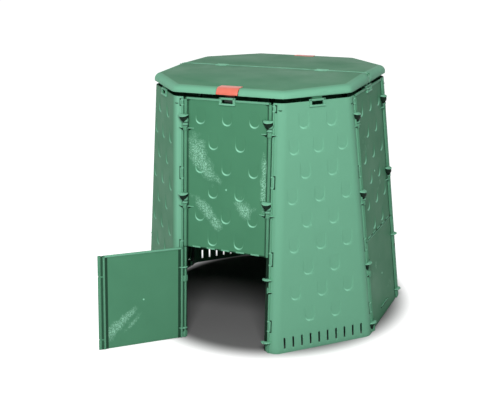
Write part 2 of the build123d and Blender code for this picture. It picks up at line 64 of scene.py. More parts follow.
# The eight-sided wall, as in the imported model. Its leans are in radians, and other angles in degrees.
WALL_HEIGHT = 960 * MM
HALF_ACROSS_BOTTOM = 506 * MM
HALF_ACROSS_TOP = 413.5 * MM
HALF_SIDE = 223.5 * MM
WALL = 4 * MM
CORNER_RADIUS = 40 * MM
BEND_TRIM = CORNER_RADIUS * (sqrt(2) - 1)
LEAN_IN = HALF_ACROSS_BOTTOM - HALF_ACROSS_TOP
LEAN = atan2(LEAN_IN, WALL_HEIGHT)
CORNER_LEAN = atan2(LEAN_IN / sqrt(2), WALL_HEIGHT)
CORNER_BOTTOM = (HALF_ACROSS_BOTTOM + HALF_SIDE) / sqrt(2)
SIDES = ("front", "right", "back", "left")
CORNERS = ("front_right", "back_right", "back_left", "front_left")
QUARTER = 90

# Seams: the rods of the side panels, and the bead of each corner panel's flange with a dark strip behind it,
# painted as the shade in the gap.
ROD_X = 174 * MM
ROD_TOP = 952 * MM
BEAD_X = 187.5 * MM
FLANGE_TIP = 183 * MM
SHADE_STRIP_ACROSS = (-5.5 * MM, 15 * MM)
SHADE_STRIP_DEPTH = (-8.5 * MM, -6.6 * MM)

# The gap under the doors, where the doors end and the upper panels start, and how far a door swings.
GROUND_GAP = 4 * MM
DOOR_TOP = 376 * MM
PANEL_LOW = 380 * MM
DOOR_SWING = 150

# Collars along the bead, the tab between two of them and its surround, and a mark on the bend; the surround
# and the mark are painted dark as shade.
COLLAR_SPANS = ((927 * MM, 950 * MM), (645 * MM, 690 * MM), (349 * MM, 400 * MM), (87 * MM, 131 * MM))
COLLAR_PROUD = 1.4 * MM
COLLAR_HEIGHT = 5 * MM
TAB_WIDTH = 9 * MM
TAB_PROUD = 3 * MM
TAB_INSET = 2 * MM
SURROUND_WIDTH = 12.5 * MM
SURROUND_PROUD = 0.7 * MM
SURROUND_MARGIN = 3 * MM
BEND_MARK_RADIUS = 7.5 * MM
BEND_MARK_DEPTH = (-3 * MM, 0.6 * MM)
BEND_MARK_X = 38 * MM
BEND_MARK_Z = 935 * MM

# Clips: a half-moon shelf, moved along the wall by its shift, and under it a hook round the rod and a ledge.
CLIP_TOPS = (895 * MM, 592 * MM, 297 * MM, 46 * MM)
CLIP_DROP = 62 * MM
SHELF_THICKNESS = 4 * MM
SHELF_CLEARANCE = 0.5 * MM
SHELF_FALL = 6 * MM
FREE_SHELF_SHIFT = -6 * MM
HINGE_SHELF_SHIFT = 9 * MM
DOOR_SHELF_SHIFT = 5 * MM
MOON_BACK = 0.1 * MM
HOOK_INNER = 6.5 * MM
HOOK_OUTER = 10 * MM
HOOK_HEIGHT = 24 * MM
HOOK_CLEARANCE = 0.5 * MM
HOOK_ROOM = 13 * MM
HOOK_WRAP = (-130, 130)
OPEN_HOOK_WRAP = (-90, 0)
NECK_SPAN = (8.2 * MM, 13 * MM)
LEDGE_DROP = 50 * MM
LEDGE_REACH = 24 * MM
LEDGE_SPAN = (9 * MM, 30 * MM)
PANEL_LEDGE_SPAN = (-HOOK_ROOM, -36 * MM)
LEDGE_THICKNESS = 3 * MM
LEDGE_PROUD = 8 * MM
LOW_LEDGE_PROUD = 5.2 * MM
# The pockets under ledges and shelves are painted dark as their shadows.
POCKET_SPAN = (9 * MM, 23 * MM)
POCKET_HEIGHT = 11 * MM
LEDGE_POCKET_HEIGHT = 10 * MM
POCKET_PROUD = 5 * MM
PANEL_POCKET_PROUD = 0.9 * MM
SCOOP_REACH = 30.5 * MM
SCOOP_TAPER = 36 * MM
FREE_SLIT_REACH = 18.5 * MM

# Corbels and half cups under the shelves. Drops count down from a shelf, and the angles HOLLOW_START,
# HOLLOW_TURN, CREASE and CUP_DOOR_ROOM go round a corbel's or cup's middle.
# The hollow, the creases and the lines at the necks are painted dark as the shade under a shelf.
CORBEL_DROPS = np.array((0, 7, 14, 20, 25, 27, 28.5, 37, 38.5, 46)) * MM
CORBEL_RADII = np.array((19.8, 19.8, 19.3, 17.4, 13.4, 11, 12.8, 12.8, 10.5, 8)) * MM
CORBEL_NECKS = (27 * MM, 38.5 * MM)
NECK_LINE = 1.7 * MM
HOLLOW_DROPS = (12 * MM, 35 * MM)
HOLLOW_EDGE = 3 * MM
HOLLOW_DEPTH = 0.07
HOLLOW_START = 20
HOLLOW_TURN = 110
CREASE = 24
CUP_HEIGHT = 30 * MM
CUP_FOOT = 0.3
CUP_INSET = 0.6 * MM
CUP_DOOR_ROOM = 4

# How far a detail is sunk into the sheet behind it, or into the shelf or ledge above it.
ROOT = 1 * MM
SHELF_ROOT = 0.2 * MM
POCKET_ROOT = 0.5 * MM
RIB_ROOT = 0.4 * MM

# Roundings of small details: pockets; marks, inner grooves and pins; thin strips; ribs, shade strips and
# surrounds; ledges and knuckles; the hooks' necks; and gate marks.
POCKET_ROUND = 0.2 * MM
MARK_ROUND = 0.3 * MM
STRIP_ROUND = 0.4 * MM
RIB_ROUND = 0.5 * MM
LEDGE_ROUND = 0.6 * MM
NECK_ROUND = 0.8 * MM
GATE_ROUND = 0.9 * MM

# Round marks where the panels were filled in their moulds.
GATE_RADIUS = 4 * MM
GATE_PROUD = 1.2 * MM
PANEL_GATE = 620 * MM
DOOR_GATE = 184 * MM

# Tongue rows, from the top row down. Near the top of a corner panel they keep clear of its bends.
TONGUE_PITCH = 111 * MM
TONGUE_TOP_ROW = 861 * MM
TONGUE_ROW_PITCH = 93.5 * MM
SIDE_ROWS = 6
CORNER_ROWS = 9
TONGUE_MARGIN = 5 * MM
TONGUE_ROOM = 70 * MM
TONGUE_FROM_BEND = 28 * MM

# Roof-shaped air ribs inside the corner panels, and the slots along their feet.
RIB_LEG = 58 * MM
RIB_HALF_ANGLE = 30
RIB_THICKNESS = 3 * MM
RIB_DEPTH = 20 * MM
RIB_COLUMN = 80 * MM
RIB_TOP_ROW = 880 * MM
SLOT_COUNT = 10
SLOT_PITCH = 36.5 * MM
SLOT_WIDTH = 8 * MM
SLOT_LOW = 18 * MM
SLOT_HIGH = 62 * MM

# Keepers at the top middle of every wall panel.
KEEPER_HALF = 33 * MM
KEEPER_BELOW = 22 * MM
KEEPER_ABOVE = 7 * MM
KEEPER_PROUD = 4 * MM
KEEPER_SLOT_HALF = 23 * MM
KEEPER_SLOT_HEIGHT = 14 * MM
KEEPER_BAR = 8 * MM

# Upper panels: a rim with a notch under each end, and dashes along the foot, each beside a gap painted dark
# as shade.
RIM_HEIGHT = 8 * MM
RIM_PROUD = 3 * MM
RIM_HALF = 168 * MM
NOTCH_HEIGHT = 11 * MM
NOTCH_REACH = 26 * MM
DASH_COUNT = 5
DASH_PITCH = 62 * MM
DASH_HALF = 17 * MM
DASH_HEIGHT = 6 * MM
DASH_PROUD = 2.4 * MM
DASH_GAP = (19 * MM, 43 * MM)
DASH_GAP_HEIGHT = 4 * MM
DASH_GAP_PROUD = 0.8 * MM

# Doors: bars beside grooves inside both edges, painted dark as shade, lips along the top, a grip over a line
# painted dark as its shadow, and bridges at the slits.
EDGE_BAR = (154 * MM, 161 * MM)
EDGE_GROOVE = (143 * MM, 154.5 * MM)
EDGE_GROOVE_PROUD = 0.6 * MM
INNER_BACK = -8 * MM
INNER_LIP_HEIGHT = 7 * MM
OUTER_LIP_HEIGHT = 4 * MM
OUTER_LIP_PROUD = 1.5 * MM
GRIP_HALF = 46 * MM
GRIP_SPAN = (51 * MM, 53.5 * MM)
GRIP_PROUD = 4 * MM
GRIP_LINE_LOW = 44 * MM
GRIP_LINE_PROUD = 0.6 * MM
BRIDGE_ACROSS = (160 * MM, ROD_X + 4.4 * MM)
BRIDGE_DEPTH = (-5.6 * MM, -0.9 * MM)

# Lid leaves.
LID_LOW = 977 * MM
LID_EDGE = 1002 * MM
LID_TOP = 1013 * MM
LID_HALF = 418.5 * MM
LID_DIAGONAL = 455.43 * MM
LID_ROUND = 24 * MM
LID_PLAN_ROUND = 42 * MM
LID_SLOPE = (LID_TOP - LID_EDGE) / (LID_HALF - LID_ROUND)
ROOF_INSET = LID_ROUND + 7 * MM
SEAM_EDGE = 7 * MM
BAY_HALF = 46 * MM
BAY_BACK = 367.5 * MM
HINGE_X = 220 * MM
HINGE_Y = -11 * MM
HINGE_Z = 1009 * MM
KNUCKLE_RADIUS = 6 * MM
KNUCKLE_SPANS = (-25 * MM, -11 * MM, 11 * MM, 25 * MM)
KNUCKLE_POCKET = 8 * MM

# Under the lid: ribs, the cheeks and back of the latch's bay, the wall along the seam, and the feet.
INSIDE_GAP = 2 * MM
INSIDE_LOW = LID_LOW + INSIDE_GAP
LID_RIB_X = 140 * MM
LID_RIB_HALF = 1.5 * MM
LID_RIB_INSET = 20 * MM
LID_RIB_HEIGHTS = (LID_EDGE - 22 * MM, LID_EDGE - 5 * MM)
CHEEK_INSET = 6 * MM
CHEEK_TOP = LID_EDGE - 10 * MM
BAY_BACK_TOP = LID_EDGE - 2 * MM
SEAM_WALL_TOP = LID_TOP - 3 * MM
FOOT_INSET = 6 * MM
FOOT_HALF = 20 * MM
FOOT_DEPTH = 13 * MM
FOOT_HEIGHTS = (967.8 * MM, LID_EDGE - 14 * MM)

# Grids of points: rows up a panel, the step at a cut, lines across the sheets and rows at a corner's foot.
ROW_SPACING = 11 * MM
CUT_STEP = 0.05 * MM
FIELD_HALF = 139 * MM
FIELD_LINES = np.linspace(-FIELD_HALF, FIELD_HALF, 73)
EDGE_SHARES = np.linspace(0, 1, 16)[1:]
FACE_LINES = np.linspace(-182 * MM, 182 * MM, 92)
FOOT_ROWS = (0.4 * MM, SLOT_LOW, 33 * MM, 47 * MM)
FACE_ROWS = 82

# Edges: points nearer than the weld are joined, and edges sharper than an angle are rounded or shaded sharp.
SHEET_WELD = 0.02 * MM
CAD_WELD = 0.01 * MM
SHEET_EDGE_ANGLE = 50
CAD_EDGE_ANGLE = 35
SHADE_ANGLE = 38

# The groove beside each rod: its distance from the rod and its width, and those of the shade painted in it.
GROOVE_X = 10 * MM
GROOVE_WIDTH = 4 * MM
GROOVE_SHADE_X = 8.5 * MM
GROOVE_SHADE_WIDTH = 3.4 * MM

# How pale each corner panel's face and its bends are painted: a sheen on the face, highlights on the bends.
CORNER_HIGHLIGHT = {
    "front_right": (0.42, 0.46),
    "back_right": (0.1, 0.5),
    "back_left": (0.04, 0.5),
    "front_left": (0.0, 0.64),
}
# Highlights painted on the tongues' lips: -1 for their left side or 1 for their right, how strongly, and
# how fast that fades upwards.
LIP_HIGHLIGHT = (-1, 1.0, 2.2)
RIGHT_LIP_HIGHLIGHT = (1, 1.0, 2.2)
FRONT_LEFT_LIP_HIGHLIGHT = (-1, 0.5, 1.4)
# Pale patches in millimetres across and up a panel: place, half width, half height, tilt and strength.
FRONT_SCUFFS = (
    (-122, 772, 70, 36, -70, 0.85), (-84, 694, 80, 28, -40, 0.85), (-85, 536, 74, 26, -42, 0.9),
    (76, 552, 48, 32, -38, 0.95), (-40, 476, 35, 20, -30, 0.6), (154, 660, 13, 140, 0, 0.95),
)
OTHER_SCUFFS = ((-90, 760, 40, 60, 10, 0.4), (70, 560, 60, 30, 25, 0.4))
# On the front door the patches are streaks of painted sheen; elsewhere they are pale haze from rubbing.
FRONT_DOOR_SHEEN_STREAKS = ((84, 110, 74, 17, -42, 1.0), (46, 92, 50, 8, -44, 0.85), (126, 74, 22, 36, 0, 0.75))
OTHER_DOOR_SCUFFS = ((-60, 250, 70, 26, 24, 0.4), (90, 110, 50, 30, -20, 0.4))

# The photograph's camera, fitted to the bin's corners: metres, degrees, and millimetres of lens and film.
CAMERA_PLACE = (1.4305, -3.3627, 1.6323)
CAMERA_AZIMUTH = 24.55
CAMERA_ELEVATION = 17.98
CAMERA_ROLL = -1.21
CAMERA_LENS = 64.81
CAMERA_FILM = 36

# The studio in metres: the floor, the ring round the bin over which it turns from grey, a painted shadow, to
# a white glow, the world's soft light, and soft boxes with azimuth, elevation, distance, size and watts.
FLOOR_HALF = 40.0
FLOOR_SHADOW_RING = (0.49, 0.64)
FLOOR_GLOW = 0.94
AMBIENT = 0.2
SOFT_BOXES = {"key": (22, 36, 4.0, 1.4, 108), "left_fill": (-75, 25, 4.5, 2.5, 38)}


def linear(hex_colour):
    """An sRGB hex colour as linear red, green, blue and alpha."""
    srgb = np.array([int(hex_colour[place:place + 2], 16) for place in (1, 3, 5)]) / 255
    low, high = srgb / 12.92, ((srgb + 0.055) / 1.055) ** 2.4
    return (*np.where(srgb <= 0.04045, low, high).tolist(), 1.0)


def colour(name, words, hex_colour):
    """A colour that a user would change."""
    return bpy.props.FloatVectorProperty(
        name=name, description=words, subtype="COLOR", size=4, min=0, max=1, default=linear(hex_colour)
    )


def length(name, words, millimetres):
    """A size that a user would change."""
    return bpy.props.FloatProperty(
        name=name, description=words, unit="LENGTH", min=0, default=millimetres * MM
    )


class BinSizes(bpy.types.PropertyGroup):
    """Sizes of the moulded detail."""

    tongue_width: length("Tongue width", "Width of one moulded tongue", 40)
    tongue_length: length("Tongue length", "From a tongue's lip to where it dies into the panel", 65)
    tongue_depth: length("Tongue depth", "How deep a tongue goes at its lip", 3)
    lip_width: length("Lip width", "Width of a tongue's sloped lip at its lowest point", 4.6)
    rod_radius: length("Rod radius", "Radius of the rods on the panel edges", 6)
    bead_radius: length("Bead radius", "Radius of the bead on a flange's edge", 4.5)
    shelf_radius: length("Shelf radius", "Radius of a clip's half-moon shelf", 20.4)
    edge_round: length("Edge rounding", "Rounding of moulded edges", 0.9)
    groove_depth: length("Groove depth", "Depth of the groove between a panel and its rod", 2.5)


class BinColours(bpy.types.PropertyGroup):
    """Colours of the plastics, the highlights and shade painted on them, the pins and the studio."""

    green: colour("Green", "Moulded green", "#54916F")
    green_deep: colour("Deep green", "Darker clouds in the moulded green", "#4A8464")
    # Pale green is painted as highlights on bends, rims, raised parts and lips, and as a sheen on faces.
    green_highlight: colour("Pale green", "Bleached corners, rims and worn lips", "#96DCBB")
    # The scuff colour is pale haze from rubbing and, on the front door, a painted sheen.
    scuff: colour("Scuff", "Pale speckle where the surface is rubbed", "#9FDABD")
    # The soil colour is painted shade: in grooves, gaps, creases and pockets, and under shelves and the grip.
    soil: colour("Soil", "Soil left in grooves and recesses", "#16291F")
    red: colour("Red", "Latch", "#EE7E68")
    red_deep: colour("Deep red", "Darker clouds in the latch", "#DE6A54")
    steel: colour("Steel", "Hinge pins", "#9A9C9C")
    # The floor under the bin is grey as a painted shadow.
    floor: colour("Floor", "Studio floor under the bin", "#7C7C7C")
    floor_round: colour("Floor round the bin", "Studio floor round the bin", "#D2D2D2")
    backdrop: colour("Backdrop", "Studio backdrop", "#FFFFFF")


# Numpy surfaces


def up(height, lean=LEAN):
    """Distance up a leaning panel to a height."""
    return height / cos(lean)


def half_across(height):
    """Centre to the outside of a long side at a height."""
    return HALF_ACROSS_BOTTOM - LEAN_IN * height / WALL_HEIGHT


def grid_faces(rows, columns, around):
    """Corner numbers of the quads between the points of a grid, closed round its columns where asked."""
    index = np.arange(rows * columns).reshape(rows, columns)
    if around:
        index = np.column_stack([index, index[:, :1]])
    corners = [index[:-1, :-1], index[:-1, 1:], index[1:, 1:], index[1:, :-1]]
    return np.stack(corners, -1)


class Shape:
    """Surfaces collected into one mesh, with a painted highlight, a pale haze and painted shade on each
    point.
    """

    # The marks in order: highlights and sheen painted pale, pale haze, and shade painted dark.
    MARKS = ("bleach", "scuff", "soil")

    def __init__(self):
        self.points = []
        self.faces = []
        self.marks = []
        self.count = 0

    def take(self, points, *faces, **marks):
        """Adds points of shape (..., 3), and arrays of their corner numbers with a row for each face."""
        flat = np.asarray(points, float).reshape(-1, 3)
        self.points.append(flat)
        self.faces += [corners + self.count for corners in faces]
        rows = [np.broadcast_to(np.ravel(marks.get(name, 0.0)), len(flat)) for name in self.MARKS]
        self.marks.append(np.stack(rows, -1))
        self.count += len(flat)

    def sheet(self, points, keep=None, **marks):
        """An open grid of points; keep says which of its quads stay."""
        faces = grid_faces(*points.shape[:2], False)
        self.take(points, faces.reshape(-1, 4) if keep is None else faces[keep], **marks)

    def solid(self, rings, open_start=False, **marks):
        """Closed rings of points, one after another, capped at the end and, unless open, at the start."""
        rows, columns = rings.shape[:2]
        faces = grid_faces(rows, columns, True).reshape(-1, 4)
        index = np.arange(rows * columns).reshape(rows, columns)
        self.take(rings, faces, index[[-1]] if open_start else index[[0, -1]], **marks)

    def merged(self):
        """All points in one array, and their marks by name."""
        marks = np.concatenate(self.marks)
        return np.concatenate(self.points), dict(zip(self.MARKS, marks.T))

    def placed(self, *placings):
        """This shape copied through each placing, a function from points to points."""
        points, marks = self.merged()
        copy = Shape()
        for placing in placings:
            copy.take(placing(points), *self.faces, **marks)
        return copy

    def join(self, other):
        """Adds a copy of another shape."""
        points, marks = other.merged()
        self.take(points, *other.faces, **marks)

    def build(self, name, material, closed):
        """The mesh object.

        Closed shapes get their faces turned outwards, and open ones are joined where they meet.
        """
        points, marks = self.merged()
        faces = [face for corners in self.faces for face in corners.tolist()]
        mesh = bpy.data.meshes.new(name)
        mesh.from_pydata(points.tolist(), [], faces)
        for mark, values in marks.items():
            layer = mesh.attributes.new(mark, "FLOAT", "POINT")
            layer.data.foreach_set("value", np.ascontiguousarray(values, np.float32))
        work = bmesh.new()
        work.from_mesh(mesh)
        if closed:
            bmesh.ops.recalc_face_normals(work, faces=work.faces)
        else:
            bmesh.ops.remove_doubles(work, verts=work.verts, dist=SHEET_WELD)
        work.to_mesh(mesh)
        work.free()
        mesh.shade_smooth()
        mesh.set_sharp_from_angle(angle=radians(SHADE_ANGLE))
        mesh.materials.append(material)
        made = bpy.data.objects.new(name, mesh)
        bpy.context.scene.collection.objects.link(made)
        return made


def arc(centre, radius, start, end, steps):
    """Points of a circle's arc in a plane, from one angle to another in degrees."""
    angle = np.radians(np.linspace(start, end, steps + 1))
    return np.stack([centre[0] + radius * np.cos(angle), centre[1] + radius * np.sin(angle)], -1)


def circle(centre, radius, sides):
    """A closed outline: points evenly spaced round a circle."""
    turn = np.linspace(0, 2 * pi, sides, endpoint=False)
    return np.stack([centre[0] + radius * np.cos(turn), centre[1] + radius * np.sin(turn)], -1)


def rounded_rectangle(half_x, half_y, radius):
    """A closed outline about the origin with a quarter circle at each corner."""
    spans = ((1, 1, 0), (-1, 1, 90), (-1, -1, 180), (1, -1, 270))
    corners = [
        arc((sx * (half_x - radius), sy * (half_y - radius)), radius, start, start + 90, 2)
        for sx, sy, start in spans
    ]
    return np.concatenate(corners)


def half_moon(radius):
    """A closed outline: half a circle above a flat edge that lies just below its centre."""
    curve = arc((0, 0), radius, 0, 180, 14)
    return np.concatenate([curve, [[-radius, -MOON_BACK], [radius, -MOON_BACK]]])


def drawn_in(outline, distance):
    """An outline moved inwards along the mean of the normals of its two neighbouring edges."""
    before = outline - np.roll(outline, 1, 0)
    after = np.roll(outline, -1, 0) - outline
    normals = []
    for edge in (before, after):
        span = np.linalg.norm(edge, axis=1, keepdims=True)
        normals.append(np.stack([-edge[:, 1], edge[:, 0]], -1) / np.maximum(span, TINY))
    mean = normals[0] + normals[1]
    mean /= np.maximum(np.linalg.norm(mean, axis=1, keepdims=True), TINY)
    spread = np.maximum(np.sum(mean * normals[0], 1, keepdims=True), 0.5)
    return outline + mean * distance / spread


def at_heights(outlines, heights):
    """Rings of points: plane outlines, each at its height or at a height for each of its points."""
    rings = [
        np.column_stack([outline, np.broadcast_to(height, len(outline))])
        for outline, height in zip(outlines, heights)
    ]
    return np.stack(rings)


def stacked(outline, low, high, rounding):
    """Rings that carry an outline from low to high, drawn in at both ends along a quarter circle."""
    angle = np.radians((0, 45, 90))
    drawn, lift = rounding * (1 - np.sin(angle)), rounding * (1 - np.cos(angle))
    outlines = [drawn_in(outline, distance) for distance in (*drawn, *drawn[::-1])]
    return at_heights(outlines, (*(low + lift), *(high - lift[::-1])))


def block(x, y, z, rounding):
    """A box with rounded edges from three (low, high) spans, as rings stacked along z."""
    middle = [(low + high) / 2 for low, high in (x, y)]
    half_x, half_y = (x[1] - x[0]) / 2, (y[1] - y[0]) / 2
    outline = rounded_rectangle(half_x, half_y, rounding) + middle
    return stacked(outline, z[0], z[1], min(rounding, (z[1] - z[0]) / 2.2))


def upright(rings):
    """Rings stacked along z, laid so that they stack up a panel and their second axis points out of it."""
    return rings[..., [0, 2, 1]]


def along_x(rings):
    """Rings stacked along z, laid so that their stacking runs along x."""
    return rings[..., [2, 0, 1]]


def bar(centre, radius, low, high, rounding):
    """A round bar along a panel's slope at centre (across, out), with rounded ends."""
    return upright(stacked(circle(centre, radius, 16), low, high, rounding))


# Placings


def panel_place(turn, lean, distance):
    """A placing for a leaning panel, turned about the bin's middle.

    x goes across the panel, y up its slope and z out of the bin.
    """
    angle = radians(turn)
    across = np.array((cos(angle), sin(angle), 0))
    outward = np.array((sin(angle), -cos(angle), 0))
    rise = np.array((0, 0, 1))
    slope = rise * cos(lean) - outward * sin(lean)
    axes = np.stack([across, slope, outward * cos(lean) + rise * sin(lean)])
    return lambda points: distance * outward + points @ axes


def side_place(turn):
    """A placing for a long side's panels."""
    return panel_place(turn, LEAN, HALF_ACROSS_BOTTOM)


def corner_place(turn):
    """A placing for a corner panel's face."""
    return panel_place(turn + 45, CORNER_LEAN, CORNER_BOTTOM)


def turned(angle):
    """A placing that turns points about the bin's middle by an angle in degrees."""
    turn = radians(angle)
    axes = np.array(((cos(turn), sin(turn), 0), (-sin(turn), cos(turn), 0), (0, 0, 1)))
    return lambda points: points @ axes


def swing(opening):
    """Turns a door outwards by an angle in degrees about the rod on its left edge, in its panel's frame."""
    turn = radians(opening)
    axes = np.array(((cos(turn), 0, sin(turn)), (0, 1, 0), (-sin(turn), 0, cos(turn))))
    hinge = np.array((-ROD_X, 0, 0))
    return lambda points: (points - hinge) @ axes + hinge


def at_rod(points):
    """Points made about a rod at x = 0, moved to a panel's right rod."""
    return points + (ROD_X, 0, 0)


def mirrored(points):
    """Points on the other side of a panel's middle."""
    return points * (-1, 1, 1)


def both_edges(shape):
    """A shape made about a rod at x = 0, at a panel's right edge and mirrored at its left."""
    right = shape.placed(at_rod)
    right.join(right.placed(mirrored))
    return right


# Shared detail of the panels


def clip_drop(top):
    """How far a clip reaches down from its shelf's top."""
    return min(CLIP_DROP, up(top) - up(GROUND_GAP))


def slit_span(top):
    """Where the slit for a clip's shelf starts and ends up a panel."""
    return up(top) - SHELF_THICKNESS - SHELF_CLEARANCE, up(top) + SHELF_CLEARANCE


def hook_span(top):
    """Where a clip's hook starts and ends up the panel."""
    low = up(top) - clip_drop(top) + HOOK_CLEARANCE
    return low, min(low + HOOK_HEIGHT, slit_span(top)[0])


def room_span(top):
    """Where the room for a clip's hook starts and ends up a door's hinge edge."""
    low, high = hook_span(top)
    return low - HOOK_CLEARANCE, high + HOOK_CLEARANCE


def between_shelves(low, high):
    """Spans up a panel's edge from low to high, broken where the clips' shelves pass through."""
    stops = [low]
    for top in sorted(CLIP_TOPS):
        if low < up(top) < high:
            stops += slit_span(top)
    stops.append(high)
    return list(zip(stops[::2], stops[1::2]))


def scoop_reach(rise, top, deep):
    """How far a clip's scoop reaches into a panel's edge, for distances rise up the panel.

    Under the shelf it is widest. It then narrows along half a cosine wave to the hook's room, and under the
    ledge it opens into a short taper.
    """
    below = up(top) - rise
    drop = clip_drop(top)
    start = SHELF_THICKNESS + SHELF_CLEARANCE
    wave = 0.5 + 0.5 * np.cos(pi * np.clip((below - start) / SCOOP_TAPER, 0, 1))
    wide = HOOK_ROOM + (deep - HOOK_ROOM) * wave
    under_ledge = below > LEDGE_DROP + SHELF_THICKNESS
    tail = np.where(under_ledge, LEDGE_REACH * (drop - below) / (drop - LEDGE_DROP), 0)
    inside = (below > -SHELF_CLEARANCE) & (below < drop)
    return np.where(inside, np.maximum(wide, tail), 0)


def door_rows(low, high):
    """Distances up a door of its rows of points: at both ends of every cut, and evenly spaced between."""
    cuts = [span(top) for top in CLIP_TOPS if up(top) < high for span in (slit_span, room_span)]
    stops = np.unique(np.clip(np.ravel([(low, high), *cuts]), low, high).round(6))
    spans = [
        np.linspace(start, end, max(1, round((end - start) / ROW_SPACING)), endpoint=False)
        for start, end in zip(stops[:-1], stops[1:])
    ]
    return np.append(np.concatenate(spans), high)


def door_cells(rows, lines):
    """Which cells of a door's grid stay.

    Both edges are slit for the clips' shelves, and the left one has room for their hooks.
    """
    keep = np.ones((len(rows) - 1, len(lines) - 1), bool)
    level, across = (rows[:-1] + rows[1:]) / 2, (lines[:-1] + lines[1:]) / 2
    edges = (
        (slit_span, across < SCOOP_REACH - ROD_X),
        (slit_span, across > ROD_X - FREE_SLIT_REACH),
        (room_span, across < HOOK_ROOM - ROD_X),
    )
    for top in CLIP_TOPS:
        for span, cut in edges:
            low, high = span(top)
            keep[np.ix_((level > low) & (level < high), cut)] = False
    return keep


def edge_rows(low, high, levels):
    """Distances up an upper panel of its rows of points: evenly spaced, close at each clip, and at levels."""
    rows = [np.linspace(low, high, int((high - low) / ROW_SPACING) + 1), levels]
    for top in CLIP_TOPS:
        shelf = up(top)
        sill = shelf - clip_drop(top)
        if low < shelf < high:
            rows.append(np.linspace(sill, shelf, 24))
            edges = (*slit_span(top), sill, shelf - LEDGE_DROP)
            rows += [[level - CUT_STEP, level + CUT_STEP] for level in edges]
    return np.unique(np.clip(np.concatenate(rows), low, high).round(6))


def side_grid(rows, left_reach, right_reach, groove, scuffs):
    """A flat panel's grid of points between its rods, as across, up its slope and out, and their marks.

    Each reach is how far that edge is cut back at each row. A groove of a bell-curve section runs beside
    each rod, with shade painted in it.
    """
    left, right = (ROD_X - FIELD_HALF - reach[:, None] for reach in (left_reach, right_reach))
    field = np.broadcast_to(FIELD_LINES, (len(rows), len(FIELD_LINES)))
    across = np.concatenate(
        [-FIELD_HALF - left * EDGE_SHARES[::-1], field, FIELD_HALF + right * EDGE_SHARES], 1
    )
    rise = np.broadcast_to(rows[:, None], across.shape)
    from_rod = ROD_X - np.abs(across)
    dip = -groove * np.exp(-(((from_rod - GROOVE_X) / GROOVE_WIDTH) ** 2))
    soil = 0.85 * np.exp(-(((from_rod - GROOVE_SHADE_X) / GROOVE_SHADE_WIDTH) ** 2))
    return np.stack([across, rise, dip], -1), {"soil": soil, "scuff": rubbed(across, rise, scuffs)}


def rubbed(across, rise, scuffs):
    """The sum of soft pale patches at points across and up a panel: haze from rubbing, and on the front door
    a painted sheen.

    Each patch is a bell curve of the distance from its middle, longer along one axis than the other, and
    tilted.
    """
    haze = np.zeros(across.shape)
    for x, y, wide, tall, tilt, amount in scuffs:
        right, over = across - x * MM, rise - y * MM
        along = (right * cos(radians(tilt)) + over * sin(radians(tilt))) / (wide * MM)
        beside = (over * cos(radians(tilt)) - right * sin(radians(tilt))) / (tall * MM)
        haze += amount * np.exp(-(along ** 2) - beside ** 2)
    return haze


def u_reach(ray, half, below, above):
    """The share of each ray from a point at which it leaves a U-shape about that point.

    The U has straight sides, a straight top above the point and half a circle below it.
    """
    x, y = np.maximum(np.abs(ray[:, 0]), TINY), ray[:, 1]
    straight = np.minimum(half / x, np.where(y > 0, above / np.maximum(y, TINY), np.inf))
    middle = half - below
    square = x ** 2 + y ** 2
    root = np.sqrt(np.maximum((y * middle) ** 2 - square * (middle ** 2 - half ** 2), 0))
    return np.where(straight * y < middle, (y * middle + root) / square, straight)


def recess(shape, sizes, loop, spot, scuffs, face_sheen, lip_light):
    """A tongue sunk into a panel's cell: rings from the cell's edge, loop, in to the floor.

    Each ring is a U-shape met along the rays from the tongue's middle. The lip slopes down to a floor that is
    deepest at the bottom and meets the panel at the top. The last argument says on which side of the lip a
    highlight is painted, how strongly, and how fast that fades upwards; the one before it is a sheen painted
    on the face.
    """
    lit_side, strength, fade = lip_light
    tall, half, lip = sizes.tongue_length, sizes.tongue_width / 2, sizes.lip_width
    middle = np.array((spot[0], spot[1] + tall / 2))
    ray = loop[:, :2] - middle
    rings, bleach = [loop], [np.full(len(loop), face_sheen)]
    # Each ring: how far it is drawn in at the sides and bottom, its share of the depth, and of the highlight.
    steps = (
        (-0.5 * MM, -0.5 * MM, 0, 0),
        (0.2 * MM, 0.3 * MM, 0.12, 1),
        (0.26 * lip, lip, 0.95, 1),
        (0.45 * lip, 1.3 * lip, 1, 0),
    )
    for sides, bottom, sunk, highlit in steps:
        flat = middle + ray * u_reach(ray, half - sides, tall / 2 - bottom, tall / 2 - sides)[:, None]
        above_lip = (flat[:, 1] - spot[1]) / tall
        rings.append(np.column_stack([flat, -sizes.tongue_depth * sunk * (1 - above_lip)]))
        # The highlight is painted strongest on the side of the lip that faces the light, and fades upwards.
        beside = 0.75 + 0.5 * lit_side * (flat[:, 0] - spot[0]) / half
        lip_glint = strength * highlit * np.clip(1.15 - fade * above_lip, 0, 1) * np.clip(beside, 0, 1)
        bleach.append(np.maximum(face_sheen, lip_glint))
    rings = np.stack(rings)
    haze = rubbed(rings[..., 0], rings[..., 1], scuffs)
    shape.solid(rings, open_start=True, bleach=np.concatenate(bleach), scuff=haze)


def tongue_spots(rows, lean, odd_columns, even_columns):
    """Lowest points of staggered rows of tongues, across and up a panel, from the top row down."""
    return [
        (column * TONGUE_PITCH, up(TONGUE_TOP_ROW - row * TONGUE_ROW_PITCH, lean))
        for row in range(rows)
        for column in (even_columns if row % 2 else odd_columns)
    ]


def tongue_levels(sizes, spots):
    """Where the cells about tongues start and end up a panel."""
    low = np.array([spot[1] for spot in spots]) - TONGUE_MARGIN
    return np.concatenate([low, low + sizes.tongue_length + 2 * TONGUE_MARGIN])


